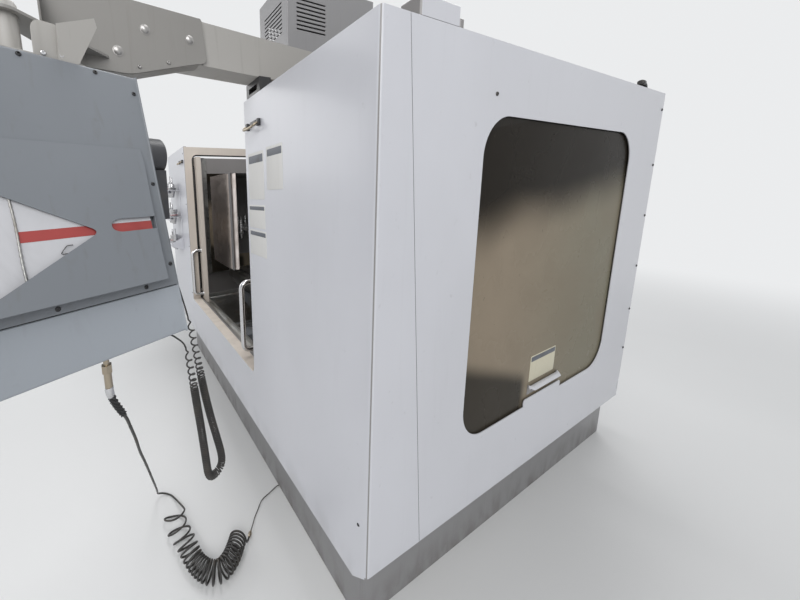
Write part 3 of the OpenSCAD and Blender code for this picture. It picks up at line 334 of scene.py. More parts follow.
def soft_outline(corners, cut, steps=5):
    """A polygon whose corners are cut back and rounded: each is the quadratic curve
    (1-u)^2 A + 2u(1-u) C + u^2 B, where A and B lie a cut's length from the corner C."""
    c = np.asarray(corners, float)
    cut = np.broadcast_to(np.asarray(cut, float), (len(c),))[:, None]
    a = c + cut * unit(np.roll(c, 1, 0) - c)
    b = c + cut * unit(np.roll(c, -1, 0) - c)
    a, b, c = a[:, None], b[:, None], c[:, None]
    u = np.linspace(0, 1, steps)[None, :, None]
    return ((1 - u) ** 2 * a + 2 * u * (1 - u) * c + u ** 2 * b).reshape(-1, 2)


def soft_rect(low, high, cut):
    """A rectangle between two opposite corners, with its corners rounded."""
    (x0, y0), (x1, y1) = low, high
    return soft_outline([(x0, y0), (x1, y0), (x1, y1), (x0, y1)], cut)


def slab(outline, low, high, edge, order="xyz"):
    """A plate: an outline from one height to another with its edges rounded by a quarter
    circle. order says which axes the outline's two numbers and the height lie on."""
    a = np.linspace(0, np.pi / 2, 4)
    inset = edge * (1 - np.sin(a))
    rise = edge * (1 - np.cos(a))
    g = outline_grid(outline, [*(low + rise), *(high - rise[::-1])], [*inset, *inset[::-1]])
    return g[..., [order.index(k) for k in "xyz"]]


def to_front(points):
    """Mirrored in Y, so that what stands up from a flat sheet comes out to the front."""
    return points * (1, -1, 1)


def turned(points, origin, degrees):
    """Points turned about Z and then carried to an origin."""
    a = math.radians(degrees)
    basis = np.array([[math.cos(a), math.sin(a), 0], [-math.sin(a), math.cos(a), 0], [0, 0, 1]])
    return np.asarray(points, float) @ basis + np.asarray(origin, float)


def on_pendant(points):
    """From the pendant's own axes (X through it to its back, Y across, Z up) to the frame's."""
    return turned(points, (*PENDANT_AXIS, 0), PENDANT_TURN)


def on_arm(points):
    """From the arm's own axes (Y along it, origin over the front sheet) to the frame's."""
    return turned(points, ARM_ORIGIN, ARM_TURN)


def own_way(carry, way):
    """A direction in a part's own axes, as it lies in the frame."""
    return carry(np.array(way, float)) - carry(np.zeros(3))


def on_back(points):
    """From the pendant's leaning back (X across, Y up the slope, Z out of it) to the frame's."""
    lean = math.atan2(0.126, 0.52)
    c, s = math.cos(lean), math.sin(lean)
    basis = np.array([[0, 1, 0], [-s, 0, c], [c, 0, s]])
    return on_pendant(np.asarray(points, float) @ basis + (0.060, 0, 1.815))


def new_object(name, data):
    """An object that shows some data, linked to the scene."""
    obj = bpy.data.objects.new(name, data)
    bpy.context.scene.collection.objects.link(obj)
    return obj


class Build:
    """Gathers grids of points into one mesh. A grid is rows by columns by three."""

    def __init__(self):
        self.points, self.faces, self.count = [], [], 0

    def grid(self, g, wrap_rows=False, wrap_cols=True, caps=True):
        """Joins neighbours of a grid with quads, and closes its first and last rows."""
        rows, cols = g.shape[:2]
        i, j = np.meshgrid(np.arange(rows if wrap_rows else rows - 1),
                           np.arange(cols if wrap_cols else cols - 1), indexing="ij")
        k, m = (i + 1) % rows, (j + 1) % cols
        quads = np.stack([i * cols + j, i * cols + m, k * cols + m, k * cols + j], -1)
        self.faces += (quads.reshape(-1, 4) + self.count).tolist()
        if caps and wrap_cols and not wrap_rows:
            first = np.arange(cols) + self.count
            self.faces.append(first[::-1].tolist())
            self.faces.append((first + (rows - 1) * cols).tolist())
        self.points.append(g.reshape(-1, 3))
        self.count += rows * cols
        return self

    def sheet(self, face, back=None):
        """An open sheet of points, with a wall from its edges to those of its back."""
        self.grid(face, wrap_cols=False, caps=False)
        if back is not None:
            self.grid(np.stack([rim(face), rim(back)]), caps=False)
        return self

    def lathed(self, profile, sides, places, normal, **how):
        """One turned shape set at each of many places, pointing along a normal."""
        g = lathe_grid(profile, sides)
        for place in places:
            self.grid(placed(g.reshape(-1, 3), place, normal).reshape(g.shape), **how)
        return self

    def slab(self, outline, low, high, edge, order="xyz", carry=None):
        """A plate with rounded edges. carry takes its points to their place."""
        g = slab(outline, low, high, edge, order)
        return self.grid(carry(g) if carry else g)

    def plate(self, outlines, low, high, carry=None):
        """A flat sheet with holes: the first outline is its edge and the others are holes.
        Both faces are filled with triangles and each outline gets its wall. carry takes the
        flat sheet's points to their place."""
        flat = np.vstack(outlines)
        triangles = np.array(geometry.tessellate_polygon(
            [[Vector((x, y, 0)) for x, y in o] for o in outlines]))
        n = len(flat)
        both = np.vstack([np.column_stack([flat, np.full(n, h)]) for h in (low, high)])
        start = 0
        for o in outlines:
            i = np.arange(len(o)) + start
            j = np.roll(i, -1)
            self.faces += (np.column_stack([i, j, j + n, i + n]) + self.count).tolist()
            start += len(o)
        self.faces += (triangles + self.count).tolist()
        self.faces += (triangles[:, ::-1] + n + self.count).tolist()
        self.points.append(carry(both) if carry else both)
        self.count += 2 * n
        return self

    def box(self, low, high, edge):
        """A block with its edges rounded off by a small flat."""
        low, high = np.asarray(low, float), np.asarray(high, float)
        mid, size = (low + high) / 2, high - low
        e = min(edge, size.min() / 3)
        ring = round_rect(size[0], size[1], e * 1.2, 2)
        g = outline_grid(ring, [0, e, size[2] - e, size[2]], [e, 0, 0, e])
        return self.grid(g + (mid[0], mid[1], low[2]))

    def piece(self, name, slot, body="base", finish=None):
        """Makes the mesh and its object, to ride on a body. Its material is its slot's, or
        else the named finish."""
        mesh = bpy.data.meshes.new(name)
        mesh.from_pydata(np.vstack(self.points), [], self.faces)
        outward(mesh)
        mesh.shade_smooth()
        mesh.set_sharp_from_angle(angle=SOFT_ANGLE)
        obj = new_object(name, mesh)
        mesh.materials.append(FINISHES[finish or slot])
        if body:
            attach(obj, body)
        return obj


# Finishes

FINISHES = {}


class Nodes:
    """Short ways to add the nodes of a tree and to link them."""

    def __init__(self, tree):
        self.tree = tree

    def put(self, socket, value):
        """Links a socket to another one's output, or sets its value."""
        if isinstance(value, bpy.types.NodeSocket):
            self.tree.links.new(value, socket)
        else:
            socket.default_value = value

    def add(self, kind, inputs=None, **values):
        """A node with its inputs, by name or number, and its other settings."""
        node = self.tree.nodes.new(kind)
        for key, value in values.items():
            setattr(node, key, value)
        for key, value in (inputs or {}).items():
            self.put(node.inputs[key], value)
        return node


class Finish(Nodes):
    """A material whose patterns read Object coordinates."""

    def __init__(self, name, colour, roughness, metallic=0.0):
        self.material = bpy.data.materials.new(name)
        self.material.use_nodes = True
        super().__init__(self.material.node_tree)
        self.shader = self.tree.nodes["Principled BSDF"]
        self.set("Base Color", (*colour, 1.0))
        self.set("Roughness", roughness)
        self.set("Metallic", metallic)
        self.place = self.add("ShaderNodeTexCoord").outputs["Object"]

    def set(self, name, value):
        """Sets or links one of the shader's inputs."""
        self.put(self.shader.inputs[name], value)

    def stretched(self, scale, offset=(0, 0, 0)):
        """Object coordinates multiplied by a scale along each axis."""
        inputs = {"Vector": self.place, "Scale": scale, "Location": offset}
        return self.add("ShaderNodeMapping", inputs).outputs["Vector"]

    def noise(self, scale, detail, stretch=(1, 1, 1), offset=(0, 0, 0), distortion=0.0):
        """Clouds whose grain gets finer as scale grows."""
        inputs = {"Vector": self.stretched(stretch, offset), "Scale": scale, "Detail": detail,
                  "Distortion": distortion}
        return self.add("ShaderNodeTexNoise", inputs).outputs["Fac"]

    def cells(self, scale):
        """Distance to the nearest of scattered points, as a leathery grain."""
        inputs = {"Vector": self.stretched((1, 1, 1)), "Scale": scale}
        return self.add("ShaderNodeTexVoronoi", inputs).outputs["Distance"]

    def axis(self, k):
        """One of the object's own coordinates."""
        return self.add("ShaderNodeSeparateXYZ", {0: self.place}).outputs[k]

    def ramp(self, value, low, high, start=0.0, end=1.0):
        """A value carried smoothly from one range to another, and held at its ends."""
        inputs = {"Value": value, "From Min": low, "From Max": high, "To Min": start,
                  "To Max": end}
        node = self.add("ShaderNodeMapRange", inputs, interpolation_type="SMOOTHSTEP")
        return node.outputs["Result"]

    def sum(self, a, b, how="ADD"):
        """Two values joined and held between 0 and 1."""
        return self.add("ShaderNodeMath", {0: a, 1: b}, operation=how, use_clamp=True).outputs[0]

    def absolute(self, a):
        """A value without its sign."""
        return self.add("ShaderNodeMath", {0: a}, operation="ABSOLUTE").outputs[0]

    def slope(self, a, k, b):
        """a + k b, not held between 0 and 1."""
        inputs = {0: b, 1: k, 2: a}
        return self.add("ShaderNodeMath", inputs, operation="MULTIPLY_ADD").outputs[0]

    def mix(self, share, a, b):
        """Two colours mixed by the second one's share."""
        inputs = {0: share, 6: a, 7: b}
        return self.add("ShaderNodeMix", inputs, data_type="RGBA").outputs[2]

    def bump(self, height, distance, strength):
        """Relief by a height map, on top of any bump before it."""
        inputs = {"Height": height, "Distance": distance, "Strength": strength}
        last = self.shader.inputs["Normal"]
        if last.is_linked:
            inputs["Normal"] = last.links[0].from_socket
        self.put(last, self.add("ShaderNodeBump", inputs).outputs["Normal"])

    def done(self, slot):
        """Keeps the material as the finish of a slot."""
        FINISHES[slot] = self.material
        return self.material


def rgb(colour, k=1.0):
    """A colour made k times as bright, with its alpha."""
    return (*(min(1.0, c * k) for c in colour), 1.0)


# Where the enclosure's sheets show their inner face: narrow ranges of |x|, of y at the front
# and of y at the rear
INNER_SIDE, INNER_FRONT, INNER_REAR = (1.3178, 1.3186), (-0.8142, -0.8134), (0.8108, 0.8114)


def paint(slot, colour, roughness, streaks, low_grime=None, coat=0.0, darker_inside=False):
    """Sprayed enamel: a little orange peel, cloudy colour, faint runs down the wall, small chips
    and, where low_grime gives two heights and a share, dirt that thickens towards the floor. Where
    asked, the paint is darker on the faces inside the enclosure, mixed towards the grime colour."""
    f = Finish(slot, colour, roughness)
    cloud = f.noise(2.2, 4, (1, 1, 0.6))
    tone = f.mix(f.ramp(cloud, 0.3, 0.7), rgb(colour, 0.965), rgb(colour, 1.03))
    runs = f.noise(5.0, 5, (9, 9, 0.7), (3, 1, 0), 0.6)
    spots = f.noise(38.0, 6, (1, 1, 1), (7, 3, 5))
    dirt = f.sum(f.ramp(runs, 0.56, 0.78, 0, streaks * 0.35), f.ramp(spots, 0.66, 0.8, 0, 0.14))
    if low_grime:
        rise = f.ramp(f.axis(2), *low_grime, 0.0)
        patchy = f.ramp(f.noise(14.0, 6, (1, 1, 0.5)), 0.35, 0.7)
        dirt = f.sum(dirt, f.sum(rise, patchy, "MULTIPLY"))
    tone = f.mix(dirt, tone, rgb(colours().grime))
    # darker on the enclosure's inner faces
    if darker_inside:
        inner = f.ramp(f.absolute(f.axis(0)), *INNER_SIDE, 1, 0)
        inner = f.sum(inner, f.ramp(f.axis(1), *INNER_FRONT), "MULTIPLY")
        inner = f.sum(inner, f.ramp(f.axis(1), *INNER_REAR, 1, 0), "MULTIPLY")
        tone = f.mix(inner, tone, f.mix(0.72, tone, rgb(colours().grime, 0.8)))
    f.set("Base Color", tone)
    f.set("Roughness", f.ramp(f.sum(cloud, dirt), 0.2, 1.0, roughness * 0.88, roughness * 1.7))
    f.set("Coat Weight", coat)
    f.set("Coat Roughness", 0.12)
    f.bump(f.noise(420.0, 2), 0.00006, 0.5)
    f.bump(f.noise(3.0, 2), 0.0012, 0.25)
    return f.done(slot)


def casting(slot, colour):
    """Painted cast iron: a sandy skin under thick paint, darker where coolant has run."""
    f = Finish(slot, colour, 0.48)
    wet = f.ramp(f.noise(3.0, 5, (3, 3, 0.5)), 0.45, 0.75, 0, 0.6)
    f.set("Base Color", f.mix(wet, rgb(colour), rgb(colours().grime, 0.7)))
    f.set("Roughness", f.ramp(wet, 0, 0.6, 0.5, 0.28))
    f.bump(f.noise(160.0, 5), 0.0006, 0.6)
    f.bump(f.noise(9.0, 3), 0.003, 0.25)
    return f.done(slot)


def machined(slot, colour, roughness=0.3, lay=(240, 3, 60), stain=0.35):
    """Ground or milled steel: fine lay lines along Y, with dull stained patches."""
    f = Finish(slot, colour, roughness, 1.0)
    lines = f.noise(4.0, 3, lay)
    patch = f.ramp(f.noise(6.0, 6), 0.45, 0.7, 0, stain)
    f.set("Base Color", f.mix(patch, rgb(colour), rgb(colours().grime, 1.9)))
    f.set("Roughness", f.ramp(f.sum(lines, patch), 0.2, 1.2, roughness * 0.8, roughness + 0.3))
    f.bump(lines, 0.00012, 0.5)
    return f.done(slot)


def bright_metal(slot, colour, roughness):
    """Plated or polished metal with faint wiping marks."""
    f = Finish(slot, colour, roughness, 1.0)
    f.set("Roughness", f.ramp(f.noise(30.0, 5, (1, 1, 0.2)), 0.3, 0.8, roughness, roughness + 0.2))
    f.bump(f.noise(600.0, 2), 0.00003, 0.3)
    return f.done(slot)


def plastic(slot, colour, roughness, grain=0.00015, dusty=0.3):
    """Moulded plastic or rubber with a fine leathery grain and dusty high spots."""
    f = Finish(slot, colour, roughness)
    dust = f.ramp(f.noise(16.0, 6), 0.5, 0.78, 0, dusty)
    f.set("Base Color", f.mix(dust, rgb(colour), rgb(colours().grime, 1.8)))
    f.set("Roughness", f.ramp(dust, 0, 0.3, roughness, min(1.0, roughness + 0.25)))
    f.bump(f.cells(700.0), grain, 0.4)
    return f.done(slot)


def paper(slot, colour):
    """Laminated paper: faint grey smudges, long soft creases and a satin skin."""
    f = Finish(slot, colour, 0.38)
    smudge = f.ramp(f.noise(9.0, 6, distortion=0.8), 0.45, 0.8, 0, 0.45)
    f.set("Base Color", f.mix(smudge, rgb(colour), rgb(colour, 0.62)))
    f.set("Roughness", f.ramp(smudge, 0, 0.45, 0.3, 0.6))
    f.bump(f.noise(14.0, 3, (1, 1, 0.2)), 0.0012, 0.5)
    return f.done(slot)


def greasy_pane(slot, film, clear_top, clear_low, z_low, z_high):
    """Clear sheet fogged by dried coolant, beige where it is thick, turning greener towards the
    back. Above a soft line that rises towards the back the film is thin, and there its colour is
    painted near black as painted shade of the dark inside. The low front corner is painted dark as
    a painted reflection. Faint clouds, a few splashes and fine specks lie in it."""
    f = Finish(slot, film, 0.2)
    y, z = f.axis(1), f.axis(2)
    wave = f.noise(1.7, 2, (1, 1, 1), (4, 5, 1))
    line = f.slope(f.slope(z, -0.13, y), 0.16, wave)
    # high: the upper part where the film is thin. It is more see-through, and its colour is
    # painted near black as painted shade of the dark inside
    high = f.ramp(line, z_low, z_high)
    # corner: the low front corner, painted dark as a painted reflection
    corner = f.ramp(f.slope(f.slope(z, 0.4, y), 0.05, wave), 0.80, 0.87, 0.9, 0)
    corner = f.sum(corner, f.ramp(y, -0.11, -0.06, 1, 0), "MULTIPLY")
    cloud = f.ramp(f.noise(4.5, 4, (1, 1, 1), (2, 5, 1), 0.3), 0.3, 0.75, 0, 0.45)
    specks = f.ramp(f.noise(75.0, 2, offset=(1, 2, 3)), 0.74, 0.78, 0, 0.6)
    film = np.array(film)
    body = f.mix(f.ramp(y, -0.35, 0.45), rgb(film, 1.08), rgb(film * (0.80, 0.90, 0.88)))
    body = f.mix(cloud, body, rgb(film, 0.86))
    # painted shade over the thin top, then painted reflection in the low corner
    body = f.mix(high, body, rgb(film, 0.07))
    body = f.mix(corner, body, rgb(film * (0.08, 0.09, 0.10)))
    f.set("Base Color", f.mix(specks, body, rgb(film, 0.35)))
    f.set("Alpha", f.ramp(high, 0, 1, clear_low, clear_top))
    f.set("Roughness", f.ramp(cloud, 0, 1, 0.26, 0.42))
    f.set("Specular IOR Level", 0.03)
    f.bump(f.noise(60.0, 4), 0.0001, 0.2)
    f.material.use_backface_culling = False
    return f.done(slot)


def make_finishes():
    """One material for each slot of the record, and a few for small pieces."""
    c = colours()
    paint("white_paint", c.enclosure, 0.30, streaks=0.06, low_grime=(0.42, 0.54, 0.16), coat=0.15,
          darker_inside=True)
    paint("cream_paint", c.cream, 0.38, streaks=0.3, low_grime=(0.66, 0.95, 0.12))
    paint("tank_paint", c.tank, 0.36, streaks=0.25, low_grime=(0.0, 0.16, 0.4))
    casting("casting_paint", c.casting)
    machined("machined_steel", (0.42, 0.42, 0.41))
    machined("galvanised", (0.36, 0.36, 0.35), 0.42, (20, 20, 20), 0.6)
    machined("tool_steel", (0.50, 0.50, 0.51), 0.16, (3, 3, 300), 0.15)
    bright_metal("chrome", (0.62, 0.62, 0.63), 0.10)
    bright_metal("brass_fitting", (0.40, 0.345, 0.27), 0.22)
    plastic("motor_black", (0.030, 0.030, 0.033), 0.45)
    plastic("black_metal", (0.022, 0.022, 0.024), 0.36)
    plastic("black_rubber", (0.022, 0.022, 0.024), 0.62, 0.0002)
    plastic("panel_plastic", (0.045, 0.046, 0.050), 0.42)
    plastic("red_plastic", (0.42, 0.020, 0.016), 0.28)
    plastic("green_plastic", (0.02, 0.20, 0.06), 0.28)
    greasy_pane("window_pane", c.film, 0.90, 0.97, 1.43, 1.62)
    greasy_pane("door_glass", c.film, 0.50, 0.62, 1.43, 1.62)
    machined("shroud_sheet", (0.84, 0.765, 0.73), 0.36, (3, 3, 60), 0.35)
    # a copy of the pendant paint 1.75 times as bright for the lower housing: painted light
    paint("pendant_low_paint", tuple(1.75 * k for k in c.pendant), 0.34, streaks=0.2)
    paint("plate_grey", tuple(0.66 * k for k in c.arm), 0.38, streaks=0.3)
    plastic("nozzle_plastic", (0.06, 0.11, 0.26), 0.4)
    plastic("key_caps", (0.30, 0.30, 0.29), 0.5, 0.0001, 0.15)
    plastic("screen_glass", (0.012, 0.014, 0.014), 0.12, 0.00001, 0.03)
    plastic("oil_reservoir", (0.42, 0.30, 0.12), 0.22, 0.00004, 0.1)
    plastic("cord_black", (0.036, 0.034, 0.032), 0.45)
    paint("plate_white", (0.66, 0.65, 0.63), 0.42, streaks=0.2)
    paint("plate_cream", (0.62, 0.58, 0.44), 0.42, streaks=0.4)
    plastic("plate_dark", (0.10, 0.11, 0.13), 0.5)
    bright_metal("aged_bronze", (0.34, 0.29, 0.22), 0.28)
    bright_metal("zinc", (0.36, 0.35, 0.34), 0.30)
    paper("booklet", (0.55, 0.55, 0.57))
    paper("booklet_red", (0.36, 0.055, 0.050))
    paint("arm_paint", c.arm, 0.40, streaks=0.5)
    # the pendant paint, kept dark on the upper case as painted shade
    paint("pendant_paint", c.pendant, 0.36, streaks=0.4)


def dress_nodes():
    """Gives each CAD node the finish of its slot."""
    for node, slot in SLOTS.items():
        for holder in NODES[node].material_slots:
            holder.material = FINISHES[slot]


# Cords

def curly_line():
    """Centre line of the curly cord: the route plus a turn of radius R about it, with the turn's
    phase the running total of distance over pitch. The coil is drawn out where it leaves its two
    plain ends: R is smaller there, and the pitch 2 pi sqrt(B R - R^2) keeps its bend at B. The
    pitch also widens where the route bends, so that each turn's inner side keeps clear."""
    s = sizes()
    guide = smooth_path(CURLY_ROUTE, 0.0002)
    d = along(guide)
    inner = np.clip(1 - curvature(guide, 220) * s.curly_turn, 0.3, 1)
    lead_in = 0.05
    top = d - 0.262
    end = d[-1] - d - 0.10
    on = ease(top / lead_in) * ease(end / lead_in)
    drawn = 0.80 + 0.20 * ease((top - lead_in) / 0.20) * ease((end - lead_in) / 0.12)
    radius = s.curly_turn * on * drawn
    bend = 2.2 * s.curly_wire
    loose = 2 * np.pi * np.sqrt(np.maximum(bend * radius - radius ** 2, 0))
    pitch = np.maximum(np.maximum(s.curly_pitch, 1.16 * s.curly_wire / inner), loose)
    phase = winding(d, pitch)
    turn = swept(phase, *cross_axes(directions(guide), (1.0, 0, 0)))
    line = guide + radius[:, None] * turn
    wanted = np.linspace(0, 1, int(phase[-1] / (2 * np.pi) * 14) + 120)
    measure = phase / phase[-1] + 2.0 * d / d[-1] * 0.12
    keep = np.unique(np.searchsorted(measure, wanted * measure[-1]).clip(0, len(line) - 1))
    return line[keep], turn[keep]


def hose_line():
    """Centre line of the air hose: down the route, then turns about the coil's route:
    P = G + R (cos a * S + sin a * E), where S is level across the route and E lies in the
    turn's own leaning plane. The first loops lie nearly flat and lean on the dense upright
    ones, and the last turn runs out along the floor on a quarter circle."""
    s = sizes()
    off_floor, end_off_floor = 0.0015, 0.0044
    tail = smooth_path(HOSE_ROUTE[:-4], 0.006)
    guide = smooth_path(COIL_ROUTE, 0.0005)
    d = along(guide)
    t = d / d[-1]
    v = directions(guide)
    lean = np.radians(np.interp(t, [0, 0.2, 0.42, 0.6, 1], [-68, -58, -30, -12, -6]))
    radius = np.interp(t, [0, 0.3, 0.5, 1], [0.050, 0.042, s.hose_turn, s.hose_turn])
    pitch = np.interp(t, [0, 0.18, 0.32, 0.46, 0.55, 1],
                      [0.075, 0.058, 0.040, 0.020, 0.0136, 0.0125])
    inner = np.clip(1 - radius * curvature(guide, 60), 0.25, 1)
    pitch = np.maximum(pitch, 1.1 * s.hose_thickness / inner)
    phase = winding(d, pitch)
    turns = np.floor(phase[-1] / (2 * np.pi) - 0.5) + 0.5
    phase *= turns * 2 * np.pi / phase[-1]
    level = unit(np.cross(UP, v))
    turn = swept(phase, level, np.cross(swept(lean, v, UP), level))
    centre = guide.copy()
    centre[:, 2] = radius * np.cos(lean) + s.hose_thickness / 2 + off_floor
    line = centre + radius[:, None] * turn
    start = np.searchsorted(phase, 0.5)
    keep = np.linspace(start, len(line) - 1, int(turns * 28) + 2).astype(int)
    line = line[keep]
    a = np.linspace(0, np.pi / 2, 12)[1:, None]
    reach = line[-1, 2] - s.hose_thickness / 2 - end_off_floor
    out = line[-1] + reach * ((1 - np.cos(a)) * v[-1] - np.sin(a) * UP)
    bridge = smooth_path([tail[-8], tail[-1], line[0], line[3]], 0.006)
    mid = bridge[(bridge[:, 0] > tail[-1, 0]) & (bridge[:, 0] < line[0, 0])]
    joined = even_path(np.vstack([tail, mid, line, out, out[-1] + 0.012 * v[-1]]), 0.004)
    for _ in range(8):
        joined[1:-1] = (joined[:-2] + 2 * joined[1:-1] + joined[2:]) / 4
    joined[:, 2] = np.maximum(joined[:, 2], s.hose_thickness / 2 + 0.0005)
    return joined


def declare_cord(name, path, thickness, sides, across, nodes, body, **facts):
    """A cord as a tube along its path, which hides the given nodes."""
    build = Build().grid(tube_grid(path, thickness / 2, sides, across))
    obj = build.piece(name, "black_rubber", body, finish="cord_black")
    if nodes:
        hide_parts(*nodes)
    return obj


def make_curly_cord():
    """The curly cord, from the jog handle down in a long loop and back under the pendant."""
    line, turn = curly_line()
    return declare_cord("curly_cord_wound", line, sizes().curly_wire, 8, turn, ["curly_cord"],
                        "pendant", far_end="object", stiffness="medium", lay="hanging")


def make_hose_joint(place, way):
    """Coupling that joins the hose's end to the thin lead: a stepped turned shape."""
    profile = [(0.0, -0.008), (0.0052, -0.008), (0.0062, -0.006), (0.0062, 0.004),
               (0.0075, 0.0048), (0.0075, 0.012), (0.0066, 0.013), (0.0034, 0.0145),
               (0.0034, 0.021), (0.0, 0.021)]
    return Build().lathed(profile, 24, [place], way).piece("hose_coupling", "brass_fitting")


def make_air_hose():
    """The air hose with its coiled stretch, and the thin lead from it to the tank's foot.
    Its top end is at the pendant's fitting and its coil lies on the floor."""
    line = hose_line()
    path = directions(line)
    across = unit(np.cross(path, np.gradient(path, axis=0) + np.array([0.0, 1e-4, 0.0])))
    joint = make_hose_joint(line[-1], path[-1])
    hose = declare_cord("air_hose_coiled", line, sizes().hose_thickness, 8, across,
                        ["air_hose", "air_coil"], None, far_end="fitting", stiffness="medium",
                        lay="coiled", with_pieces=[joint])
    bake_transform(hose)
    start = line[-1] + 0.018 * path[-1]
    level = path[-1] * (1, 1, 0)
    route = [start, start + 0.012 * level, start + 0.034 * level - (0, 0, 0.003),
             (0.668, -0.874, 0.0032), (0.638, -0.842, 0.0032), *LEAD_ROUTE[5:]]
    lead_path = smooth_path(route, 0.004)
    lead_path[:, 2] = np.maximum(lead_path[:, 2], sizes().lead_thickness / 2 + 0.0006)
    return declare_cord("air_lead", lead_path, sizes().lead_thickness, 8, (0, 0, 1.0), [],
                        "base", far_end="object", stiffness="limp", lay="loose")


def make_hose_guard():
    """Spring guard and ferrule at the hose's fitting: a wire wound round the hose's top."""
    line = even_path(smooth_path(HOSE_ROUTE, 0.001), 0.0005)
    guarded, ferrule_length = 0.125, 0.026
    top = line[along(line) < guarded]
    d = along(top)
    wire_pitch = 0.0034
    turn = swept(2 * np.pi * d / wire_pitch, *cross_axes(directions(top), (0, 1.0, 0)))
    coil = (top + 0.0074 * turn)[::2]
    build = Build().grid(tube_grid(coil, 0.0015, 6, turn[::2]))
    build.piece("hose_spring_guard", "black_metal", "pendant")
    ferrule = top[d < ferrule_length]
    widths = np.interp(along(ferrule), [0, 0.002, 0.02, 0.024, ferrule_length],
                       [0.007, 0.0085, 0.0085, 0.0078, 0.007])
    build = Build().grid(tube_grid(ferrule, widths, 20, (0, 1.0, 0)))
    return build.piece("hose_ferrule", "chrome", "pendant")


# Enclosure

def socket_screw(r):
    """Button-head screw: a low dome with a socket sunk in its middle, as (radius, height)."""
    return [(0, 0.1 * r), (0.42 * r, 0.1 * r), (0.45 * r, 0.52 * r), (0.6 * r, 0.55 * r),
            (0.85 * r, 0.38 * r), (r, 0.12 * r), (r, -0.3 * r), (0, -0.3 * r)]


def make_panel_screws():
    """Screws down the rear edges of the side panels and of the rear wall, one at their top front
    corner, one low on each front sheet and a row down the left jamb."""
    r = sizes().screw_head
    large, small = socket_screw(r), socket_screw(0.8 * r)
    rows = [0.735, 0.93, 1.137, 1.367, 1.586, 1.814]
    build = Build()
    for side in (-1, 1):
        edge = [(side * SIDE_X, 0.806 - r, z) for z in rows] + [(side * SIDE_X, -0.402, 1.753)]
        build.lathed(large, 20, edge, (side, 0, 0))
        rear = [(side * x, 0.812, z) for x in (0.46, 0.86, 1.27) for z in (0.52, 0.95, 1.4, 1.84)]
        build.lathed(large, 20, rear, (0, 1, 0))
        build.lathed(small, 16, [(side * 1.285, FRONT_Y, 0.62)], (0, -1, 0))
    jamb = [(-0.625, FRONT_Y, z) for z in (0.74, 1.12, 1.45, 1.83)]
    build.lathed(small, 16, jamb, (0, -1, 0))
    return build.piece("panel_screws", "black_metal")


def make_seam_shadow_beads():
    """Dark beads in the slanted seams between the front sheets' strips and the side panels, as
    painted shade in the gaps: a half-round bead carried along each seam's middle line."""
    build = Build()
    foot_z, top_z, foot_y, top_y = 0.48, 1.88, -0.609, -0.733
    z = np.linspace(foot_z + 0.002, top_z - 0.002, 60)
    share = (z - foot_z) / (top_z - foot_z)
    y = foot_y + (top_y - foot_y) * share + 0.001 + 0.001 * (1 - share)
    for side in (-1, 1):
        line = np.column_stack([np.full(60, side * (SIDE_X - 0.0016)), y, z])
        build.grid(tube_grid(line, 0.0011, 10, (1.0, 0, 0)))
    # dark rubber beads that stand in for the shade in the seams: painted shade
    return build.piece("seam_seals", "black_rubber")


def make_label_plates():
    """Bare plates in the places of the labels, thin sheets with rounded corners: on the
    right front sheet, and on the right window, which it rides."""
    fronts = [(0.696, 1.583, 0.140, 0.180), (0.692, 1.425, 0.150, 0.092),
              (0.694, 1.318, 0.156, 0.104), (0.850, 1.603, 0.118, 0.150)]
    sheet = -FRONT_Y
    plates, heads = Build(), Build()
    for x, z, w, h in fronts:
        ring = round_rect(w, h, 0.004, 4) + (x, z)
        plates.slab(ring, sheet - 0.0001, sheet + 0.0008, 0.0003, "xzy", carry=to_front)
        band = round_rect(w - 0.012, h * 0.16, 0.002, 4) + (x, z + h * 0.36)
        heads.slab(band, sheet + 0.0005, sheet + 0.0010, 0.0002, "xzy", carry=to_front)
    plates.piece("front_plates", "white_paint", finish="plate_white")
    heads.piece("front_plate_bands", "black_metal", finish="plate_dark")
    ring = round_rect(0.176, 0.098, 0.004, 4) + (0.038, 0.866)
    window = Build().slab(ring, 1.3128, 1.3136, 0.0003, "yzx")
    window.piece("window_plate", "cream_paint", "window_right", finish="plate_cream")
    band = round_rect(0.168, 0.018, 0.002, 4) + (0.038, 0.902)
    window = Build().slab(band, 1.3134, 1.3139, 0.0002, "yzx")
    return window.piece("window_plate_band", "cream_paint", "window_right", finish="plate_dark")


def make_window_lips():
    """Rolled lifting lips on the panes: a hooked profile carried along Y, its ends drawn in."""
    profile = np.array([(0.0, 0.0), (0.002, 0.0), (0.003, 0.004), (0.005, 0.018), (0.009, 0.026),
                        (0.016, 0.029), (0.022, 0.026), (0.0225, 0.029), (0.0185, 0.034),
                        (0.011, 0.036), (0.004, 0.034), (0.0, 0.028)])
    y = np.linspace(-1, 1, 41)
    fade = np.clip((1 - np.abs(y)) * 10, 0, 1) ** 0.5
    pane_x, foot_z, mid_y, half = 1.313, 0.769, 0.048, 0.1025
    for side, body in ((1, "window_right"), (-1, "window_left")):
        x = side * (pane_x + 0.94 * profile[None, :, 0] * (0.25 + 0.75 * fade[:, None]))
        rise = profile[None, :, 1]
        z = foot_z + rise + 0.004 * (1 - fade[:, None]) * (rise > 0.01)
        g = np.stack([x, np.broadcast_to((mid_y + half * y)[:, None], x.shape), z], -1)
        lip = Build().grid(g).piece(f"{body}_lip", "white_paint", body)
        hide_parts("window_handle_right" if side > 0 else "window_handle_left")


LATCH_Z = 1.774      # height of the latches
LATCH_HALF = 0.05    # from a latch's middle to each of its feet


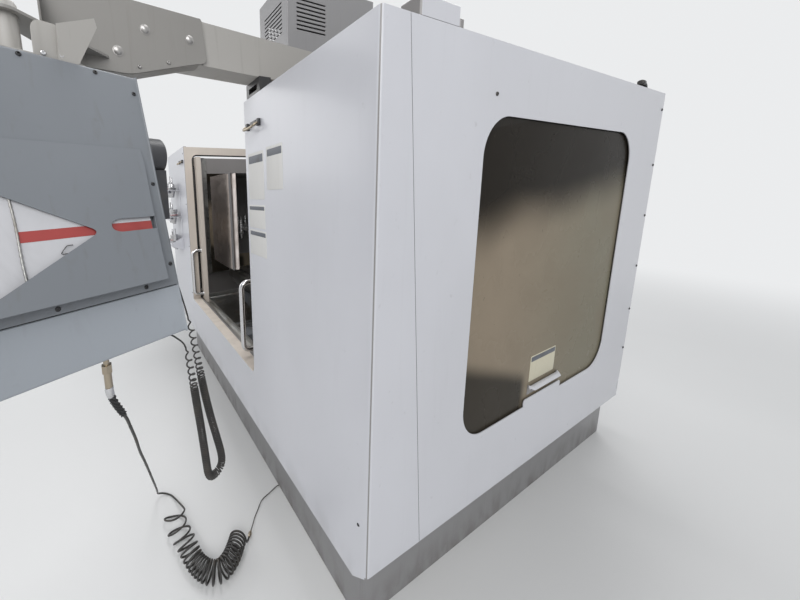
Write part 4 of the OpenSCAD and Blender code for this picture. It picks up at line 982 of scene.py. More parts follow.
def make_latches():
    """Pull latches high on the front sheets: two cast feet, a hinged bow of wire and a small
    catch plate between them."""
    bow = smooth_path(mirrored([(-LATCH_HALF, 0, 0), (-LATCH_HALF, -0.016, -0.004),
                                (-0.046, -0.026, -0.012), (-0.02, -0.029, -0.016)]), 0.003)
    foot = soft_rect((-0.009, -0.013), (0.009, 0.013), 0.005)
    catch = soft_outline([(-0.03, -0.006), (0.03, -0.006), (0.024, 0.010), (-0.024, 0.010)], 0.003)
    dark, bright = Build(), Build()
    for x in (0.694, -0.694):
        bright.grid(tube_grid(bow + (x, FRONT_Y, LATCH_Z), 0.0046, 14, (0.01, 0.3, 1.0)))
        for s in (-1, 1):
            foot_place = (x + s * LATCH_HALF, FRONT_Y, LATCH_Z)
            dark.grid(to_front(slab(foot, 0, 0.012, 0.002, "xzy")) + foot_place)
        dark.grid(to_front(slab(catch, 0, 0.006, 0.0015, "xzy")) + (x, FRONT_Y, LATCH_Z + 0.004))
    feet = dark.piece("latch_feet", "black_metal")
    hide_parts("panel_latches")
    return bright.piece("latch_bows", "chrome", finish="aged_bronze")


def make_shroud_front():
    """Bright sheet over the carousel shroud's front: a profile that runs across and bends
    round its open corner, carried up its height, with a rolled edge at each end."""
    bend = [(-0.98, -0.507), (-0.90, -0.530), (-0.78, -0.536), (-0.62, -0.536), (-0.50, -0.532),
            (-0.455, -0.524), (-0.428, -0.508), (-0.413, -0.488), (-0.410, -0.480)]
    path = smooth_path([(x, y, 0.0) for x, y in bend], 0.004)
    out = unit(np.cross(directions(path), UP))
    ring = np.concatenate([path + 0.0012 * out, (path - 0.0012 * out)[::-1]])[:, :2]
    heights = [0.932, 0.934, 0.936, 1.1, 1.3, 1.5, 1.668, 1.670, 1.672]
    g = np.stack([np.column_stack([ring, np.full(len(ring), h)]) for h in heights])
    return Build().grid(g).piece("shroud_front", "tank_paint", finish="shroud_sheet")


def make_sill_strip():
    """A cream strip over the sill, as the jambs are painted."""
    ring = soft_rect((-0.6, FRONT_Y - 0.0002), (0.6, -0.7575), 0.004)
    return Build().slab(ring, 0.6938, 0.6952, 0.0005).piece("sill_strip", "cream_paint")


def make_top_fittings():
    """What stands on the enclosure's top edge: a small sheet-metal box on the right panel and
    an elbow fitting with its collar at the rear."""
    box = Build().box((1.262, -0.700, 1.8795), (1.3185, -0.566, 1.926), 0.003)
    box.box((1.268, -0.566, 1.8795), (1.3165, -0.548, 1.904), 0.003)
    box.piece("top_box", "white_paint")
    bend = smooth_path([(1.288, 0.700, 1.878), (1.288, 0.700, 1.896), (1.288, 0.694, 1.908),
                        (1.288, 0.676, 1.914), (1.288, 0.640, 1.914)], 0.002)
    width = np.interp(along(bend), [0, 0.006, 0.007, 0.012, 0.013, 0.055, 0.056, 0.074, 0.076],
                      [0.013, 0.013, 0.010, 0.010, 0.0075, 0.0075, 0.011, 0.011, 0.008])
    return Build().grid(tube_grid(bend, width, 18, (1.0, 0, 0))).piece("top_elbow", "black_metal")


# Pendant

def make_pendant_shell():
    """The pendant's case and lower housing: two side profiles with rounded bends, carried across
    its width, with a dark strip sunk between them as painted shade in their seam, and a slim
    swivel post. The housing's paint is a lighter copy of the case's, as painted light."""
    w, front, seam = 0.24, -0.13, 1.295
    upper = soft_outline([(front, 1.815), (0.06, 1.815), (0.186, seam + 0.0012),
                          (front - 0.02, seam + 0.0012), (front, seam + 0.22)],
                         [0.006, 0.006, 0.002, 0.002, 0.02])
    lower = soft_outline([(front - 0.02, seam - 0.0012), (0.186, seam - 0.0012), (0.214, 1.18),
                          (front - 0.056, 1.18), (front - 0.056, 1.225)],
                         [0.002, 0.002, 0.006, 0.006, 0.006])
    joint = soft_rect((front, seam - 0.004), (0.181, seam + 0.004), 0.001)
    shell = Build().slab(upper, -w, w, 0.004, "xzy", carry=on_pendant)
    case = shell.piece("pendant_shell", "pendant_paint", "pendant")
    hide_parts("pendant_case")
    housing = Build().slab(lower, -w, w, 0.004, "xzy", carry=on_pendant)
    # the housing's lighter copy of the pendant paint: painted light
    housing.piece("pendant_housing", "pendant_paint", "pendant", finish="pendant_low_paint")
    # dark strip sunk in the seam between case and housing: painted shade
    dark = Build().slab(joint, -w + 0.003, w - 0.003, 0.001, "xzy", carry=on_pendant)
    dark.piece("pendant_seam_shade", "black_rubber", "pendant")
    post = [(0, 0), (0.034, 0), (0.034, 0.006), (0.027, 0.010), (0.0212, 0.014), (0.0212, 0.104),
            (0.018, 0.109), (0, 0.109)]
    post = Build().lathed(post, 40, [(*PENDANT_AXIS, 1.8145)], UP)
    return post.piece("pendant_post", "arm_paint", "pendant")


POCKET_TOP = -0.186                   # where the pocket leaves the back, down its slope
POCKET_FOOT = 0.027                   # how far its open foot stands off the back
POCKET_LEAN = POCKET_FOOT / 0.328     # its slope, over the 0.328 from crease to foot


def lift(v, share=1.0):
    """The pocket's height off the pendant's back at v: nothing at its crease, most at its
    foot. The booklet's is a share of it."""
    return share * POCKET_LEAN * (POCKET_TOP - v)


def tapered_depth(points):
    """The pocket's flat sheet, leaning out from its crease, on the pendant's back."""
    out = points.copy()
    out[:, 2] += 0.0008 + np.clip(lift(points[:, 1]), 0, 1.2 * POCKET_FOOT)
    return on_back(out)


def swell(u, v):
    """Gentle waves of the booklet's cover."""
    return 0.0012 * np.sin(u * 23) + 0.0011 * np.sin(v * 31 + u * 9)


def make_manual_pocket():
    """The pocket on the pendant's back, a sheet that leaves it at a crease and leans out to its
    open foot, with a rounded four-cornered window and a slot that runs out at the right edge.
    Side walls close it. Inside stands a booklet with a plain red band."""
    edge = soft_outline([(-0.210, -0.188), (0.212, -0.188), (0.214, -0.226), (0.206, -0.359),
                         (0.120, -0.359), (0.1035, -0.366), (0.1035, -0.382), (0.120, -0.389),
                         (0.205, -0.389), (0.203, -0.514), (-0.203, -0.514)],
                        [.003, .003, .006, .001, .006, .008, .008, .006, .001, .003, .003], 6)
    window = soft_outline([(0.078, -0.383), (-0.105, -0.283), (-0.186, -0.383), (-0.105, -0.483)],
                          [0.018, 0.006, 0.006, 0.006], 7)
    sheet = Build().plate([edge, window], 0.0, 0.0016, tapered_depth)
    q = np.linspace(-0.190, -0.5135, 40)
    out = 0.0008 + lift(q)
    for s in (-1, 1):
        x = s * np.interp(q, [-0.514, -0.226, -0.188], [0.2025, 0.2135, 0.2115])
        wall = np.stack([np.column_stack([x - s * a, q, b]) for a, b in
                         ((0, out), (0.0016, out), (0.0016, 0 * out), (0, 0 * out))], 1)
        sheet.grid(on_back(wall))
    pocket = sheet.piece("manual_pocket_folded", "pendant_paint", "pendant")
    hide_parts("manual_pocket")
    u, v = spread((-0.198, 0.1985, 60), (-0.5135, -0.205, 44))
    face = np.stack([u, v, 0.0008 + lift(v, 0.6) + swell(u, v)], -1)
    back = np.stack([u, v, 0 * u + 0.0004], -1)
    book = Build().sheet(on_back(face), on_back(back))
    book.piece("pocket_booklet", "cream_paint", "pendant", finish="booklet")
    u, v = spread((-0.062, 0.1985, 50), (-0.389, -0.368, 4))
    face = np.stack([u, v, 0.0011 + lift(v, 0.6) + swell(u, v)], -1)
    band = Build().sheet(on_back(face))
    band.piece("booklet_band", "red_plastic", "pendant", finish="booklet_red")
    q = np.linspace(-0.268, -0.50, 60)
    line = np.column_stack([-0.062 - 0.0009 * np.sin(q * 40) + 0.02 * (-q - 0.27) * 0.4, q,
                            0.0010 + lift(q, 0.6)])
    ridge = 0.0023 + 0.0004 * np.sin(np.arange(60) * np.pi / 1.5)
    spine = Build().grid(on_back(tube_grid(line, ridge, 10, (1.0, 0, 0))))
    spine.piece("booklet_spine", "machined_steel", "pendant", finish="galvanised")
    wire = smooth_path([(0.0115, -0.4198, 0.0150), (0.0045, -0.4200, 0.0152),
                        (0.0008, -0.4185, 0.0152), (0.0030, -0.4150, 0.0155),
                        (0.0100, -0.4070, 0.0150), (0.0125, -0.4048, 0.0148),
                        (0.0160, -0.4042, 0.0146), (0.0230, -0.4040, 0.0142)], 0.001)
    clip = Build().grid(on_back(tube_grid(wire, 0.0008, 8, (0, 0, 1.0))))
    return clip.piece("booklet_clip", "black_metal", "pendant")


def make_pendant_screws():
    """Black button-head screws round the pendant's back and down both its flanks."""
    places = [(0.142, -0.010), (0.226, -0.044), (0.228, -0.275), (0.231, -0.480), (0.159, -0.523)]
    places += [(-u, v) for u, v in places] + [(0.0, -0.010), (-0.02, -0.523)]
    spots = on_back([(u, v, 0.0) for u, v in places])
    build = Build().lathed(socket_screw(0.0052), 20, spots, own_way(on_back, UP))
    return build.piece("pendant_screws", "black_metal", "pendant")


def make_pendant_hanger():
    """Hanger on the pendant's top: a tab with a round shoulder along the back's top edge, a
    folded gusset beside it, their screws, and a foot plate under the post."""
    tab = soft_outline([(0.029, 1.800), (0.118, 1.800), (0.118, 1.850), (0.075, 1.887),
                        (0.029, 1.887)], [0.002, 0.002, 0.004, 0.004, 0.024], 7)
    build = Build().slab(tab, 0.047, 0.051, 0.0008, "yzx", carry=on_pendant)
    quad = np.array([(0.052, 0.072, 1.8155), (0.052, 0.112, 1.8155), (0.079, 0.149, 1.895),
                     (0.079, 0.145, 1.913), (0.060, 0.074, 1.886)])
    normal = unit(np.cross(quad[1] - quad[0], quad[3] - quad[0]))
    gusset = np.stack([quad, quad + 0.0035 * normal])
    build.grid(on_pendant(gusset))
    ring = soft_rect((-0.06, -0.10), (0.05, 0.13), 0.012)
    build.slab(ring, 1.8152, 1.8195, 0.0008, carry=on_pendant)
    build.piece("pendant_hanger", "arm_paint", "pendant")
    spots = on_pendant([(0.0505, 0.046, 1.823), (0.0535, 0.079, 1.826)])
    way = own_way(on_pendant, (1, 0, 0))
    bolts = Build().lathed(socket_screw(0.006), 20, spots, way)
    corners = on_pendant([(x, y, 1.8195) for x in (-0.045, 0.035) for y in (-0.08, 0.11)])
    bolts.lathed(socket_screw(0.006), 20, corners, UP)
    return bolts.piece("hanger_screws", "chrome", "pendant")


def make_arm_plate():
    """The folded plate on the arm's end: a cheek with clipped corners on its flank, a return
    flange along its sloping lower edge, a cap over the arm, a sheet over its open end, a
    cheek beside that and a strap out to the swivel, with the plate's bolts."""
    cheek = soft_outline([(-0.640, 0.131), (-0.213, 0.131), (-0.201, 0.014), (-0.215, 0.004),
                          (-0.249, -0.004), (-0.437, -0.062), (-0.560, -0.062),
                          (-0.640, -0.030)], [.006, .006, .008, .006, .02, .02, .02, .02], 6)
    build = Build().slab(cheek, 0.0503, 0.0563, 0.0012, "yzx", carry=on_arm)
    fold_x, thick = 0.0533, 0.004
    path = np.array([(fold_x, y, z) for y, z in
                     [(-0.212, 0.003), (-0.249, -0.006), (-0.437, -0.0645), (-0.56, -0.0645)]])
    corners = [(0, 0, 0), (0, 0, thick), (-fold_x, 0, thick), (-fold_x, 0, 0)]
    build.grid(on_arm(np.stack([path + corner for corner in corners], 1)))
    cap = soft_rect((-0.05, -0.64), (0.0553, -0.213), 0.004)
    build.slab(cap, 0.1303, 0.1353, 0.001, carry=on_arm)
    end = soft_rect((-0.0458, 0.0042), (0.0458, 0.1258), 0.004)
    build.grid(on_arm(to_front(slab(end, 0.510, 0.514, 0.0008, "xzy"))))
    left = soft_outline([(0.0515, -0.032), (0.110, -0.050), (0.135, 0.060), (0.0515, 0.131)],
                        0.006)
    build.grid(on_arm(to_front(slab(left, 0.636, 0.640, 0.0008, "xzy"))))
    a, b = np.array(PENDANT_AXIS), np.array([0.772, -1.352])
    t = np.linspace(-np.pi / 2, np.pi / 2, 16)
    way = unit(b - a)
    turn = math.atan2(way[1], way[0])
    ends = [(a, turn + np.pi, 0.034), (b, turn, 0.062)]
    ring = np.vstack([c + r * np.column_stack([np.cos(t + k), np.sin(t + k)]) for c, k, r in ends])
    hole = a + 0.0222 * np.column_stack([np.cos(-4 * t), np.sin(-4 * t)])[:-1]
    build.plate([ring, hole], 1.898, 1.904)
    plate = build.piece("arm_end_plate", "arm_paint", finish="plate_grey")
    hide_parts("end_bracket", "bracket_bolts")
    dome = [(0, 0.0075), (0.004, 0.0072), (0.0085, 0.0058), (0.0115, 0.0032), (0.0118, 0.0012),
            (0.0140, 0.001), (0.0144, -0.001), (0, -0.001)]
    way = own_way(on_arm, (1, 0, 0))
    face = 0.0563
    spots = on_arm([(face, -0.388, 0.065), (face, -0.255, 0.065), (face, -0.466, -0.007)])
    bolts = Build().lathed(dome, 32, spots, way)
    small = on_arm([(face, -0.412, -0.039), (face, -0.326, -0.013)])
    bolts.lathed(socket_screw(0.006), 20, small, way)
    return bolts.piece("arm_plate_bolts", "chrome", finish="zinc")


# Softened copies, rack, cabinet and inside

# Solids whose edges are rounded here, each with its bevel's width
SOFTENED = {
    "base_tank": 0.004, "bed_casting": 0.006, "column": 0.006, "saddle": 0.003, "table": 0.002,
    "spindle_head": 0.006, "head_cover": 0.004, "control_cabinet": 0.003, "cabinet_door": 0.002,
    "pendant_arm": 0.004, "jog_box": 0.006, "work_light": 0.004, "control_face": 0.002,
}
# Solids with a ring-shaped flat face, which a bevel fills across its hole unless it is cut up
RINGED = ("bed_casting", "control_cabinet")


def join_flat_faces(bm):
    """Joins triangles that lie in one plane."""
    bmesh.ops.dissolve_limit(bm, angle_limit=math.radians(0.5), verts=bm.verts, edges=bm.edges)


def cut_ringed_faces(bm):
    """Joins triangles that lie in one plane, and cuts the large faces up again."""
    join_flat_faces(bm)
    bmesh.ops.triangulate(bm, faces=[f for f in bm.faces if len(f.verts) > 4])


def soften_nodes():
    """Copies of the sharp-edged solids with their loose triangles merged, their flat faces
    joined and their edges rounded by a bevel, each in its solid's place."""
    for node, width in SOFTENED.items():
        solid = NODES[node]
        mesh = solid.data.copy()
        outward(mesh, 1e-5, cut_ringed_faces if node in RINGED else join_flat_faces)
        mesh.name = f"{node}_softened"
        mesh.shade_smooth()
        mesh.set_sharp_from_angle(angle=math.radians(50))
        obj = new_object(mesh.name, mesh)
        bevel = obj.modifiers.new("rounded_edges", "BEVEL")
        bevel.width = width
        bevel.segments = 2
        bevel.limit_method = "ANGLE"
        bevel.angle_limit = math.radians(30)
        bevel.use_clamp_overlap = True
        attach(obj, solid["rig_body"])
        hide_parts(node)


def make_rack_tools():
    """Tool holders that stand in the rack's holes: a taper below the flange, a grooved flange,
    and a chuck, a collar or a bare cutter above it, as (radius, height) profiles."""
    taper = [(0, -0.058), (0.012, -0.058), (0.0135, -0.055), (0.0222, -0.001), (0.0222, 0.0022),
             (0.030, 0.0026), (0.0315, 0.004), (0.0315, 0.008), (0.027, 0.0105), (0.027, 0.0125),
             (0.0315, 0.015), (0.0315, 0.019), (0.0300, 0.0205)]
    heads = [taper + [(0.022, 0.021), (0.022, 0.050), (0.020, 0.053), (0.008, 0.054),
                      (0.008, 0.104), (0.0065, 0.106), (0, 0.106)],
             taper + [(0.025, 0.021), (0.025, 0.034), (0.031, 0.038), (0.032, 0.060),
                      (0.029, 0.063), (0.010, 0.063), (0, 0.062)],
             taper + [(0.016, 0.021), (0.016, 0.070), (0.014, 0.072), (0.005, 0.073),
                      (0.005, 0.118), (0.0, 0.122)]]
    collar = [(0.0316, 0.0156), (0.0325, 0.0160), (0.0325, 0.0190), (0.0316, 0.0194)]
    steel = Build()
    collars = {"red_plastic": Build(), "black_metal": Build()}
    order = [(0, 1, 2), (2, 0, 1), (1, 2, 0)]
    mid_x, rack_y, shelf_z, hole_pitch, shelf_pitch = -0.960, -0.8693, 1.122, 0.074, 0.220
    for k, row in enumerate(order):
        for i, kind in enumerate(row):
            spot = [(mid_x + (i - 1) * hole_pitch, rack_y, shelf_z + shelf_pitch * k)]
            steel.lathed(heads[kind], 28, spot, UP)
            colour = "red_plastic" if (i + k) % 2 else "black_metal"
            collars[colour].lathed(collar, 28, spot, UP, wrap_rows=True)
    steel.piece("rack_tools", "tool_steel")
    collars["red_plastic"].piece("rack_collars_red", "red_plastic")
    collars["black_metal"].piece("rack_collars_black", "black_metal")


def make_cabinet_fittings():
    """On the cabinet's door: two banks of pressed louvres, each a half-round hood carried along
    X with its ends drawn in, hinge barrels, quarter-turn locks and the switch's plate."""
    a = np.linspace(0, np.pi, 9)
    u = np.linspace(-1, 1, 13)
    fade = np.sqrt(np.clip(1 - u ** 6, 0, 1))[:, None]
    hoods = Build()
    for x in (-0.20, 0.12):
        for z in 0.70 + 0.026 * np.arange(8):
            y = 1.2798 + 0.0075 * np.sin(a)[None] * fade
            rise = z + 0.007 * np.cos(a)[None] * (0.3 + 0.7 * fade) - 0.003 * np.sin(a)[None]
            g = np.stack([np.broadcast_to(x + 0.10 * u[:, None], y.shape), y, rise], -1)
            hoods.grid(g)
    hoods.piece("cabinet_louvres", "white_paint", "cabinet_door")
    half = [(0, 0.036), (0.004, 0.036), (0.0058, 0.034), (0.0058, 0.012), (0.0052, 0.0115),
            (0.0058, 0.011)]
    barrel = [(r, -h) for r, h in half] + half[::-1]
    hinges = Build().lathed(barrel, 20, [(-0.388, 1.2755, z) for z in (0.74, 1.21, 1.68)], UP)
    hinges.piece("cabinet_hinges", "black_metal")
    lock = [(0.0, 0.0035), (0.0028, 0.0035), (0.003, 0.0056), (0.0085, 0.0056), (0.0105, 0.0045),
            (0.0108, -0.001), (0, -0.001)]
    locks = Build().lathed(lock, 24, [(0.352, 1.280, z) for z in (0.76, 1.21, 1.66)], (0, 1, 0))
    locks.piece("cabinet_locks", "chrome", "cabinet_door")
    ring = round_rect(0.094, 0.094, 0.010) + (0.250, 1.560)
    plate = Build().slab(ring, 1.2798, 1.2826, 0.0008, "xzy")
    return plate.piece("switch_plate", "black_metal", "cabinet_door")


def make_rear_fittings():
    """Behind the enclosure: a cap over the column, a lubricator with its reservoir, lids over
    the tank's rear corners, the coolant pump and a ribbed conduit up to the column."""
    cap = Build().box((-0.188, 0.42, 2.2495), (0.188, 0.982, 2.2555), 0.003)
    cap.piece("column_cap", "casting_paint")
    tank = Build().slab(round_rect(0.074, 0.118, 0.014) + (0.4085, 0.905), 1.15, 1.34, 0.004)
    tank.piece("lubricator_reservoir", "window_pane", finish="oil_reservoir")
    head = Build().slab(round_rect(0.080, 0.124, 0.012) + (0.4105, 0.905), 1.34, 1.405, 0.004)
    knob = [(0, 0.030), (0.018, 0.030), (0.022, 0.027), (0.022, 0.012), (0.026, 0.009),
            (0.026, -0.001), (0, -0.001)]
    head.lathed(knob, 28, [(0.412, 0.875, 1.405)], UP)
    head.piece("lubricator_head", "black_metal")
    lids, lifts = Build(), Build()
    for side in (-1, 1):
        low, high = sorted((side * 0.432, side * 1.166))
        lids.box((low, 0.835, TANK_TOP - 0.003), (high, 1.222, TANK_TOP + 0.001), 0.002)
        bow = mirrored([(-0.06, 0, 0), (-0.06, 0, 0.0195), (-0.045, 0, 0.0315)])
        place = np.array([0.78, 0.98, TANK_TOP])
        bow = smooth_path((place + bow) * (side, 1, 1), 0.003)
        lifts.grid(tube_grid(bow, 0.005, 12, (0, 1.0, 0)))
    lids.piece("tank_lids", "tank_paint")
    lifts.piece("tank_lid_lifts", "chrome")
    z = np.arange(0.505, 0.66, 0.0085)
    fin = ((0.054, 0), (0.062, 0.001), (0.062, 0.003), (0.054, 0.004))
    fins = [(r, k + h) for k in z for r, h in fin]
    body = [(0, TANK_TOP), (0.078, TANK_TOP), (0.080, 0.476), (0.080, 0.484), (0.060, 0.489),
            (0.056, 0.500)] + fins
    body += [(0.060, 0.664), (0.061, 0.700), (0.054, 0.712), (0.020, 0.716), (0, 0.716)]
    body = [(r, h - TANK_TOP) for r, h in body]
    pump = Build().lathed(body, 40, [(-0.90, 1.10, TANK_TOP)], UP)
    pump.box((-0.93, 1.028, 0.585), (-0.87, 1.050, 0.655), 0.004)
    pump.piece("coolant_pump", "motor_black")
    route = [(-0.20, 1.10, 1.798), (-0.20, 1.10, 1.86), (-0.205, 1.09, 1.93), (-0.225, 1.06, 2.0),
             (-0.25, 1.02, 2.05), (-0.262, 1.008, 2.09), (-0.262, 1.002, 2.13)]
    path = smooth_path(route, 0.0012)
    d = along(path)
    ribbed = 0.0125 + 0.0013 * np.sign(np.sin(2 * np.pi * d / 0.0075))
    ribbed = np.where((d < 0.03) | (d > d[-1] - 0.03), 0.0172, ribbed)
    conduit = Build().grid(tube_grid(path, ribbed, 20, (1.0, 0, 0)))
    return conduit.piece("cabinet_conduit", "black_rubber")


def make_coolant_nozzles():
    """Jointed coolant nozzles below the spindle's ring: beads along a short bent path, each
    bead a swelling of the radius, ending in a narrow tip that points at the tool."""
    build = Build()
    for angle in (-62, -20, 28, 64):
        a = math.radians(angle)
        out = np.array([math.cos(a), math.sin(a), 0])
        stops = [(0.084, 1.353), (0.088, 1.338), (0.089, 1.320), (0.083, 1.303), (0.073, 1.290),
                 (0.064, 1.281)]
        path = smooth_path([np.array([0, SPINDLE_Y, z]) + r * out for r, z in stops], 0.001)
        d = along(path)
        beads = 0.0058 + 0.0016 * np.abs(np.sin(np.pi * d / 0.011))
        tip = np.interp(d, [d[-1] - 0.012, d[-1]], [0.0058, 0.0022])
        beads = np.where(d > d[-1] - 0.012, tip, beads)
        build.grid(tube_grid(path, beads, 12, np.cross(out, UP)))
    return build.piece("coolant_nozzles", "panel_plastic", "head", finish="nozzle_plastic")


def make_door_trim():
    """Mounting flanges at the feet of the door handles, and rubber gaskets that hold the doors'
    panes, each a flattened bead carried round a rounded oblong."""
    flange = [(0, 0.005), (0.012, 0.005), (0.019, 0.004), (0.0205, 0.002), (0.0205, -0.0005),
              (0, -0.0005)]
    for body, x, mid in (("door_left", -0.575, -0.855), ("door_right", 0.450, 0.730)):
        feet = Build().lathed(flange, 28, [(x, -0.737, z) for z in (0.735, 1.088)], (0, -1, 0))
        feet.piece(f"{body}_flanges", "chrome", body)
        ring = round_rect(0.497, 1.009, 0.030) + (mid, PANE_MID_Z)
        for y, name in ((-0.7372, "outer"), (-0.7018, "inner")):
            line = np.column_stack([ring[:, 0], np.full(len(ring), y), ring[:, 1]])
            a = round_angles(10)
            inward = unit(np.array([mid, y, PANE_MID_Z]) - line)
            g = line[:, None] + 0.0045 * (np.cos(a)[:, None] * inward[:, None]
                                          + 0.45 * np.sin(a)[:, None] * (0, 1.0, 0))
            Build().grid(g, wrap_rows=True).piece(f"{body}_gasket_{name}", "black_rubber", body)


def facing_operator(points):
    """From flat numbers (across, up, out) to the pendant's upright front face."""
    return on_pendant(points[:, [2, 0, 1]] * (-1, 1, 1))


def sloping(g):
    """On the pendant's front, where it leans out below the screen."""
    out = g * (-1, 1, 1)
    slope, bend_z = 0.0909, 1.515
    out[..., 0] -= slope * np.maximum(bend_z - g[..., 2], 0)
    return on_pendant(out)


def make_control_panel():
    """The operator's side of the pendant: a crowned screen in its bezel, rows of soft keys, a
    keypad of plain caps and a small grille, all without lettering."""
    u, v = spread((-1, 1, 25), (-1, 1, 19))
    crown = 0.0030 * (1 - u ** 2) * (1 - v ** 2)
    mid = (-0.030, 1.655)
    y, z = mid[0] + 0.115 * u, mid[1] + 0.090 * v
    face = np.stack([-0.1390 - crown, y, z], -1)
    back = np.stack([-0.1375 + 0 * u, y, z], -1)
    screen = Build().sheet(on_pendant(face), on_pendant(back))
    screen.piece("screen_glass", "window_pane", "pendant", finish="screen_glass")
    outer, inner = round_rect(0.262, 0.212, 0.012), round_rect(0.222, 0.172, 0.010)[::-1]
    bezel = Build().plate([outer + mid, inner + mid], 0.1380, 0.1430, facing_operator)
    bezel.piece("screen_bezel", "panel_plastic", "pendant")
    field = round_rect(0.40, 0.16, 0.008) + (0.0, 1.422)
    pad = Build().slab(field, 0.1298, 0.1320, 0.0006, "yzx", carry=sloping)
    pad.piece("key_field", "panel_plastic", "pendant")
    keys = Build()
    cap = round_rect(0.0185, 0.0145, 0.003, 3)
    rows = [(y, z) for z in 1.363 + 0.0235 * np.arange(6) for y in -0.176 + 0.0272 * np.arange(14)]
    bare_column, key_pitch = 0.055, 0.024
    for y, z in rows:
        if abs(y - bare_column) > key_pitch / 2:
            keys.slab(cap + (y, z), 0.1316, 0.1340, 0.0008, "yzx", carry=sloping)
    for z in 1.578 + 0.0215 * np.arange(8):
        for y in (0.128, 0.158):
            key = slab(cap + (y, z), 0.1378, 0.1405, 0.0008, "yzx")
            keys.grid(on_pendant(key * (-1, 1, 1)))
    return keys.piece("key_caps", "panel_plastic", "pendant", finish="key_caps")


# Camera and stage

def make_camera():
    """Camera at the photograph's place. Right, up and forward come from its three angles, and
    the shift puts the lens axis where the fit found it in the 800 by 600 picture."""
    place = np.array([1.824, -1.329, 1.516])
    turn, tilt, roll = 1.119, 0.161, -0.031
    focal, axis_u, axis_v, width, height, sensor = 310.63, 265.9, 243.75, 800, 600, 36.0
    right0 = np.array([math.cos(turn), math.sin(turn), 0])
    level = np.array([-math.sin(turn), math.cos(turn), 0])
    ahead = math.cos(tilt) * level - math.sin(tilt) * UP
    up0 = np.cross(right0, ahead)
    right = math.cos(roll) * right0 + math.sin(roll) * up0
    up = -math.sin(roll) * right0 + math.cos(roll) * up0
    data = bpy.data.cameras.new("photo_camera")
    data.sensor_width = sensor
    data.lens = focal * sensor / width
    data.shift_x = 0.5 - axis_u / width
    data.shift_y = (axis_v - height / 2) / width
    data.clip_start = 0.02
    camera = new_object("photo_camera", data)
    camera.matrix_world = Matrix([*np.column_stack([right, up, -ahead, place]), (0, 0, 0, 1)])
    bpy.context.scene.camera = camera
    return camera


def add_light(name, place, target, size, power):
    """A square soft light that points at a target."""
    data = bpy.data.lights.new(name, "AREA")
    data.size = size
    data.energy = power
    obj = new_object(name, data)
    obj.location = place
    away = Vector(place) - Vector(target)
    obj.rotation_euler = away.to_track_quat("Z", "Y").to_euler()
    return obj


def make_stage():
    """A pale floor disc, soft lamps and a world that shows pale to the camera and in gloss."""
    scene = bpy.context.scene
    a = round_angles(64)
    rows = np.array([0.001, 30.0])[:, None]
    disc = np.stack([rows * np.cos(a), rows * np.sin(a), np.full((2, 64), -0.0005)], -1)
    f = Finish("studio_floor", colours().floor, 0.75)
    tone = f.ramp(f.noise(0.7, 4), 0.3, 0.7)
    f.set("Base Color", f.mix(tone, rgb(colours().floor, 0.985), rgb(colours().floor, 1.01)))
    reach = f.add("ShaderNodeVectorMath", {0: f.place}, operation="LENGTH").outputs["Value"]
    rays = f.add("ShaderNodeLightPath").outputs
    seen = f.sum(f.sum(rays["Is Camera Ray"], rays["Is Glossy Ray"]), rays["Is Transmission Ray"])
    glow = f.add("ShaderNodeEmission", {"Color": PALE})
    share = f.sum(seen, f.ramp(reach, 2.6, 7.5), "MULTIPLY")
    blend = f.add("ShaderNodeMixShader", {0: share, 1: f.shader.outputs[0], 2: glow.outputs[0]})
    f.put(f.tree.nodes["Material Output"].inputs["Surface"], blend.outputs[0])
    floor = Build().grid(disc, caps=False)
    mesh = bpy.data.meshes.new("studio_floor")
    mesh.from_pydata(np.vstack(floor.points), [], floor.faces)
    mesh.flip_normals()
    mesh.materials.append(f.material)
    obj = new_object("studio_floor", mesh)
    world = bpy.data.worlds.new("studio")
    scene.world = world
    world.use_nodes = True
    world.node_tree.nodes.clear()
    w = Nodes(world.node_tree)
    rays = w.add("ShaderNodeLightPath").outputs
    seen = rays["Is Camera Ray"]
    for key in ("Is Glossy Ray", "Is Transmission Ray"):
        seen = w.add("ShaderNodeMath", {0: seen, 1: rays[key]}, operation="MAXIMUM").outputs[0]
    dim = w.add("ShaderNodeBackground", {0: (0.93, 0.96, 1.0, 1), 1: 0.42})
    pale = w.add("ShaderNodeBackground", {0: PALE})
    mix = w.add("ShaderNodeMixShader", {0: seen, 1: dim.outputs[0], 2: pale.outputs[0]})
    w.add("ShaderNodeOutputWorld", {0: mix.outputs[0]})
    for name, place, target, size, power in (
            ("key_light", (3.6, -3.4, 4.6), (0.6, -0.4, 1.1), 3.2, 112),
            ("fill_light", (-3.8, -3.6, 3.2), (-0.2, -0.6, 1.0), 3.0, 58),
            ("back_light", (-1.0, 4.2, 4.2), (0, 0.5, 1.2), 3.0, 62),
            ("side_light", (4.6, -1.9, 3.4), (1.3, -0.5, 1.5), 1.6, 42),
            ("top_light", (0.0, -0.1, 4.6), (0, -0.1, 1.0), 2.0, 70)):
        add_light(name, place, target, size, power)
    scene.view_settings.view_transform = "Standard"
    return obj


# Operators

def run(*jobs):
    """Runs an operator's jobs in order. One that can't finish raises its error."""
    for job in jobs:
        job()
    return {"FINISHED"}


class MACHINE_OT_camera(bpy.types.Operator):
    """Set up the camera at the photograph's place"""
    bl_idname = "machine.camera"
    bl_label = "Camera"

    def execute(self, context):
        return run(make_camera)


class MACHINE_OT_finishes(bpy.types.Operator):
    """Make the materials and give them to the CAD nodes"""
    bl_idname = "machine.finishes"
    bl_label = "Finishes"

    def execute(self, context):
        return run(make_finishes, dress_nodes)


class MACHINE_OT_curly_cord(bpy.types.Operator):
    """Wind the curly cord of the jog handle"""
    bl_idname = "machine.curly_cord"
    bl_label = "Curly cord"

    def execute(self, context):
        return run(make_curly_cord)


class MACHINE_OT_air_hose(bpy.types.Operator):
    """Lay the coiled air hose with its spring guard, ferrule and lead"""
    bl_idname = "machine.air_hose"
    bl_label = "Air hose"

    def execute(self, context):
        return run(make_air_hose, make_hose_guard)


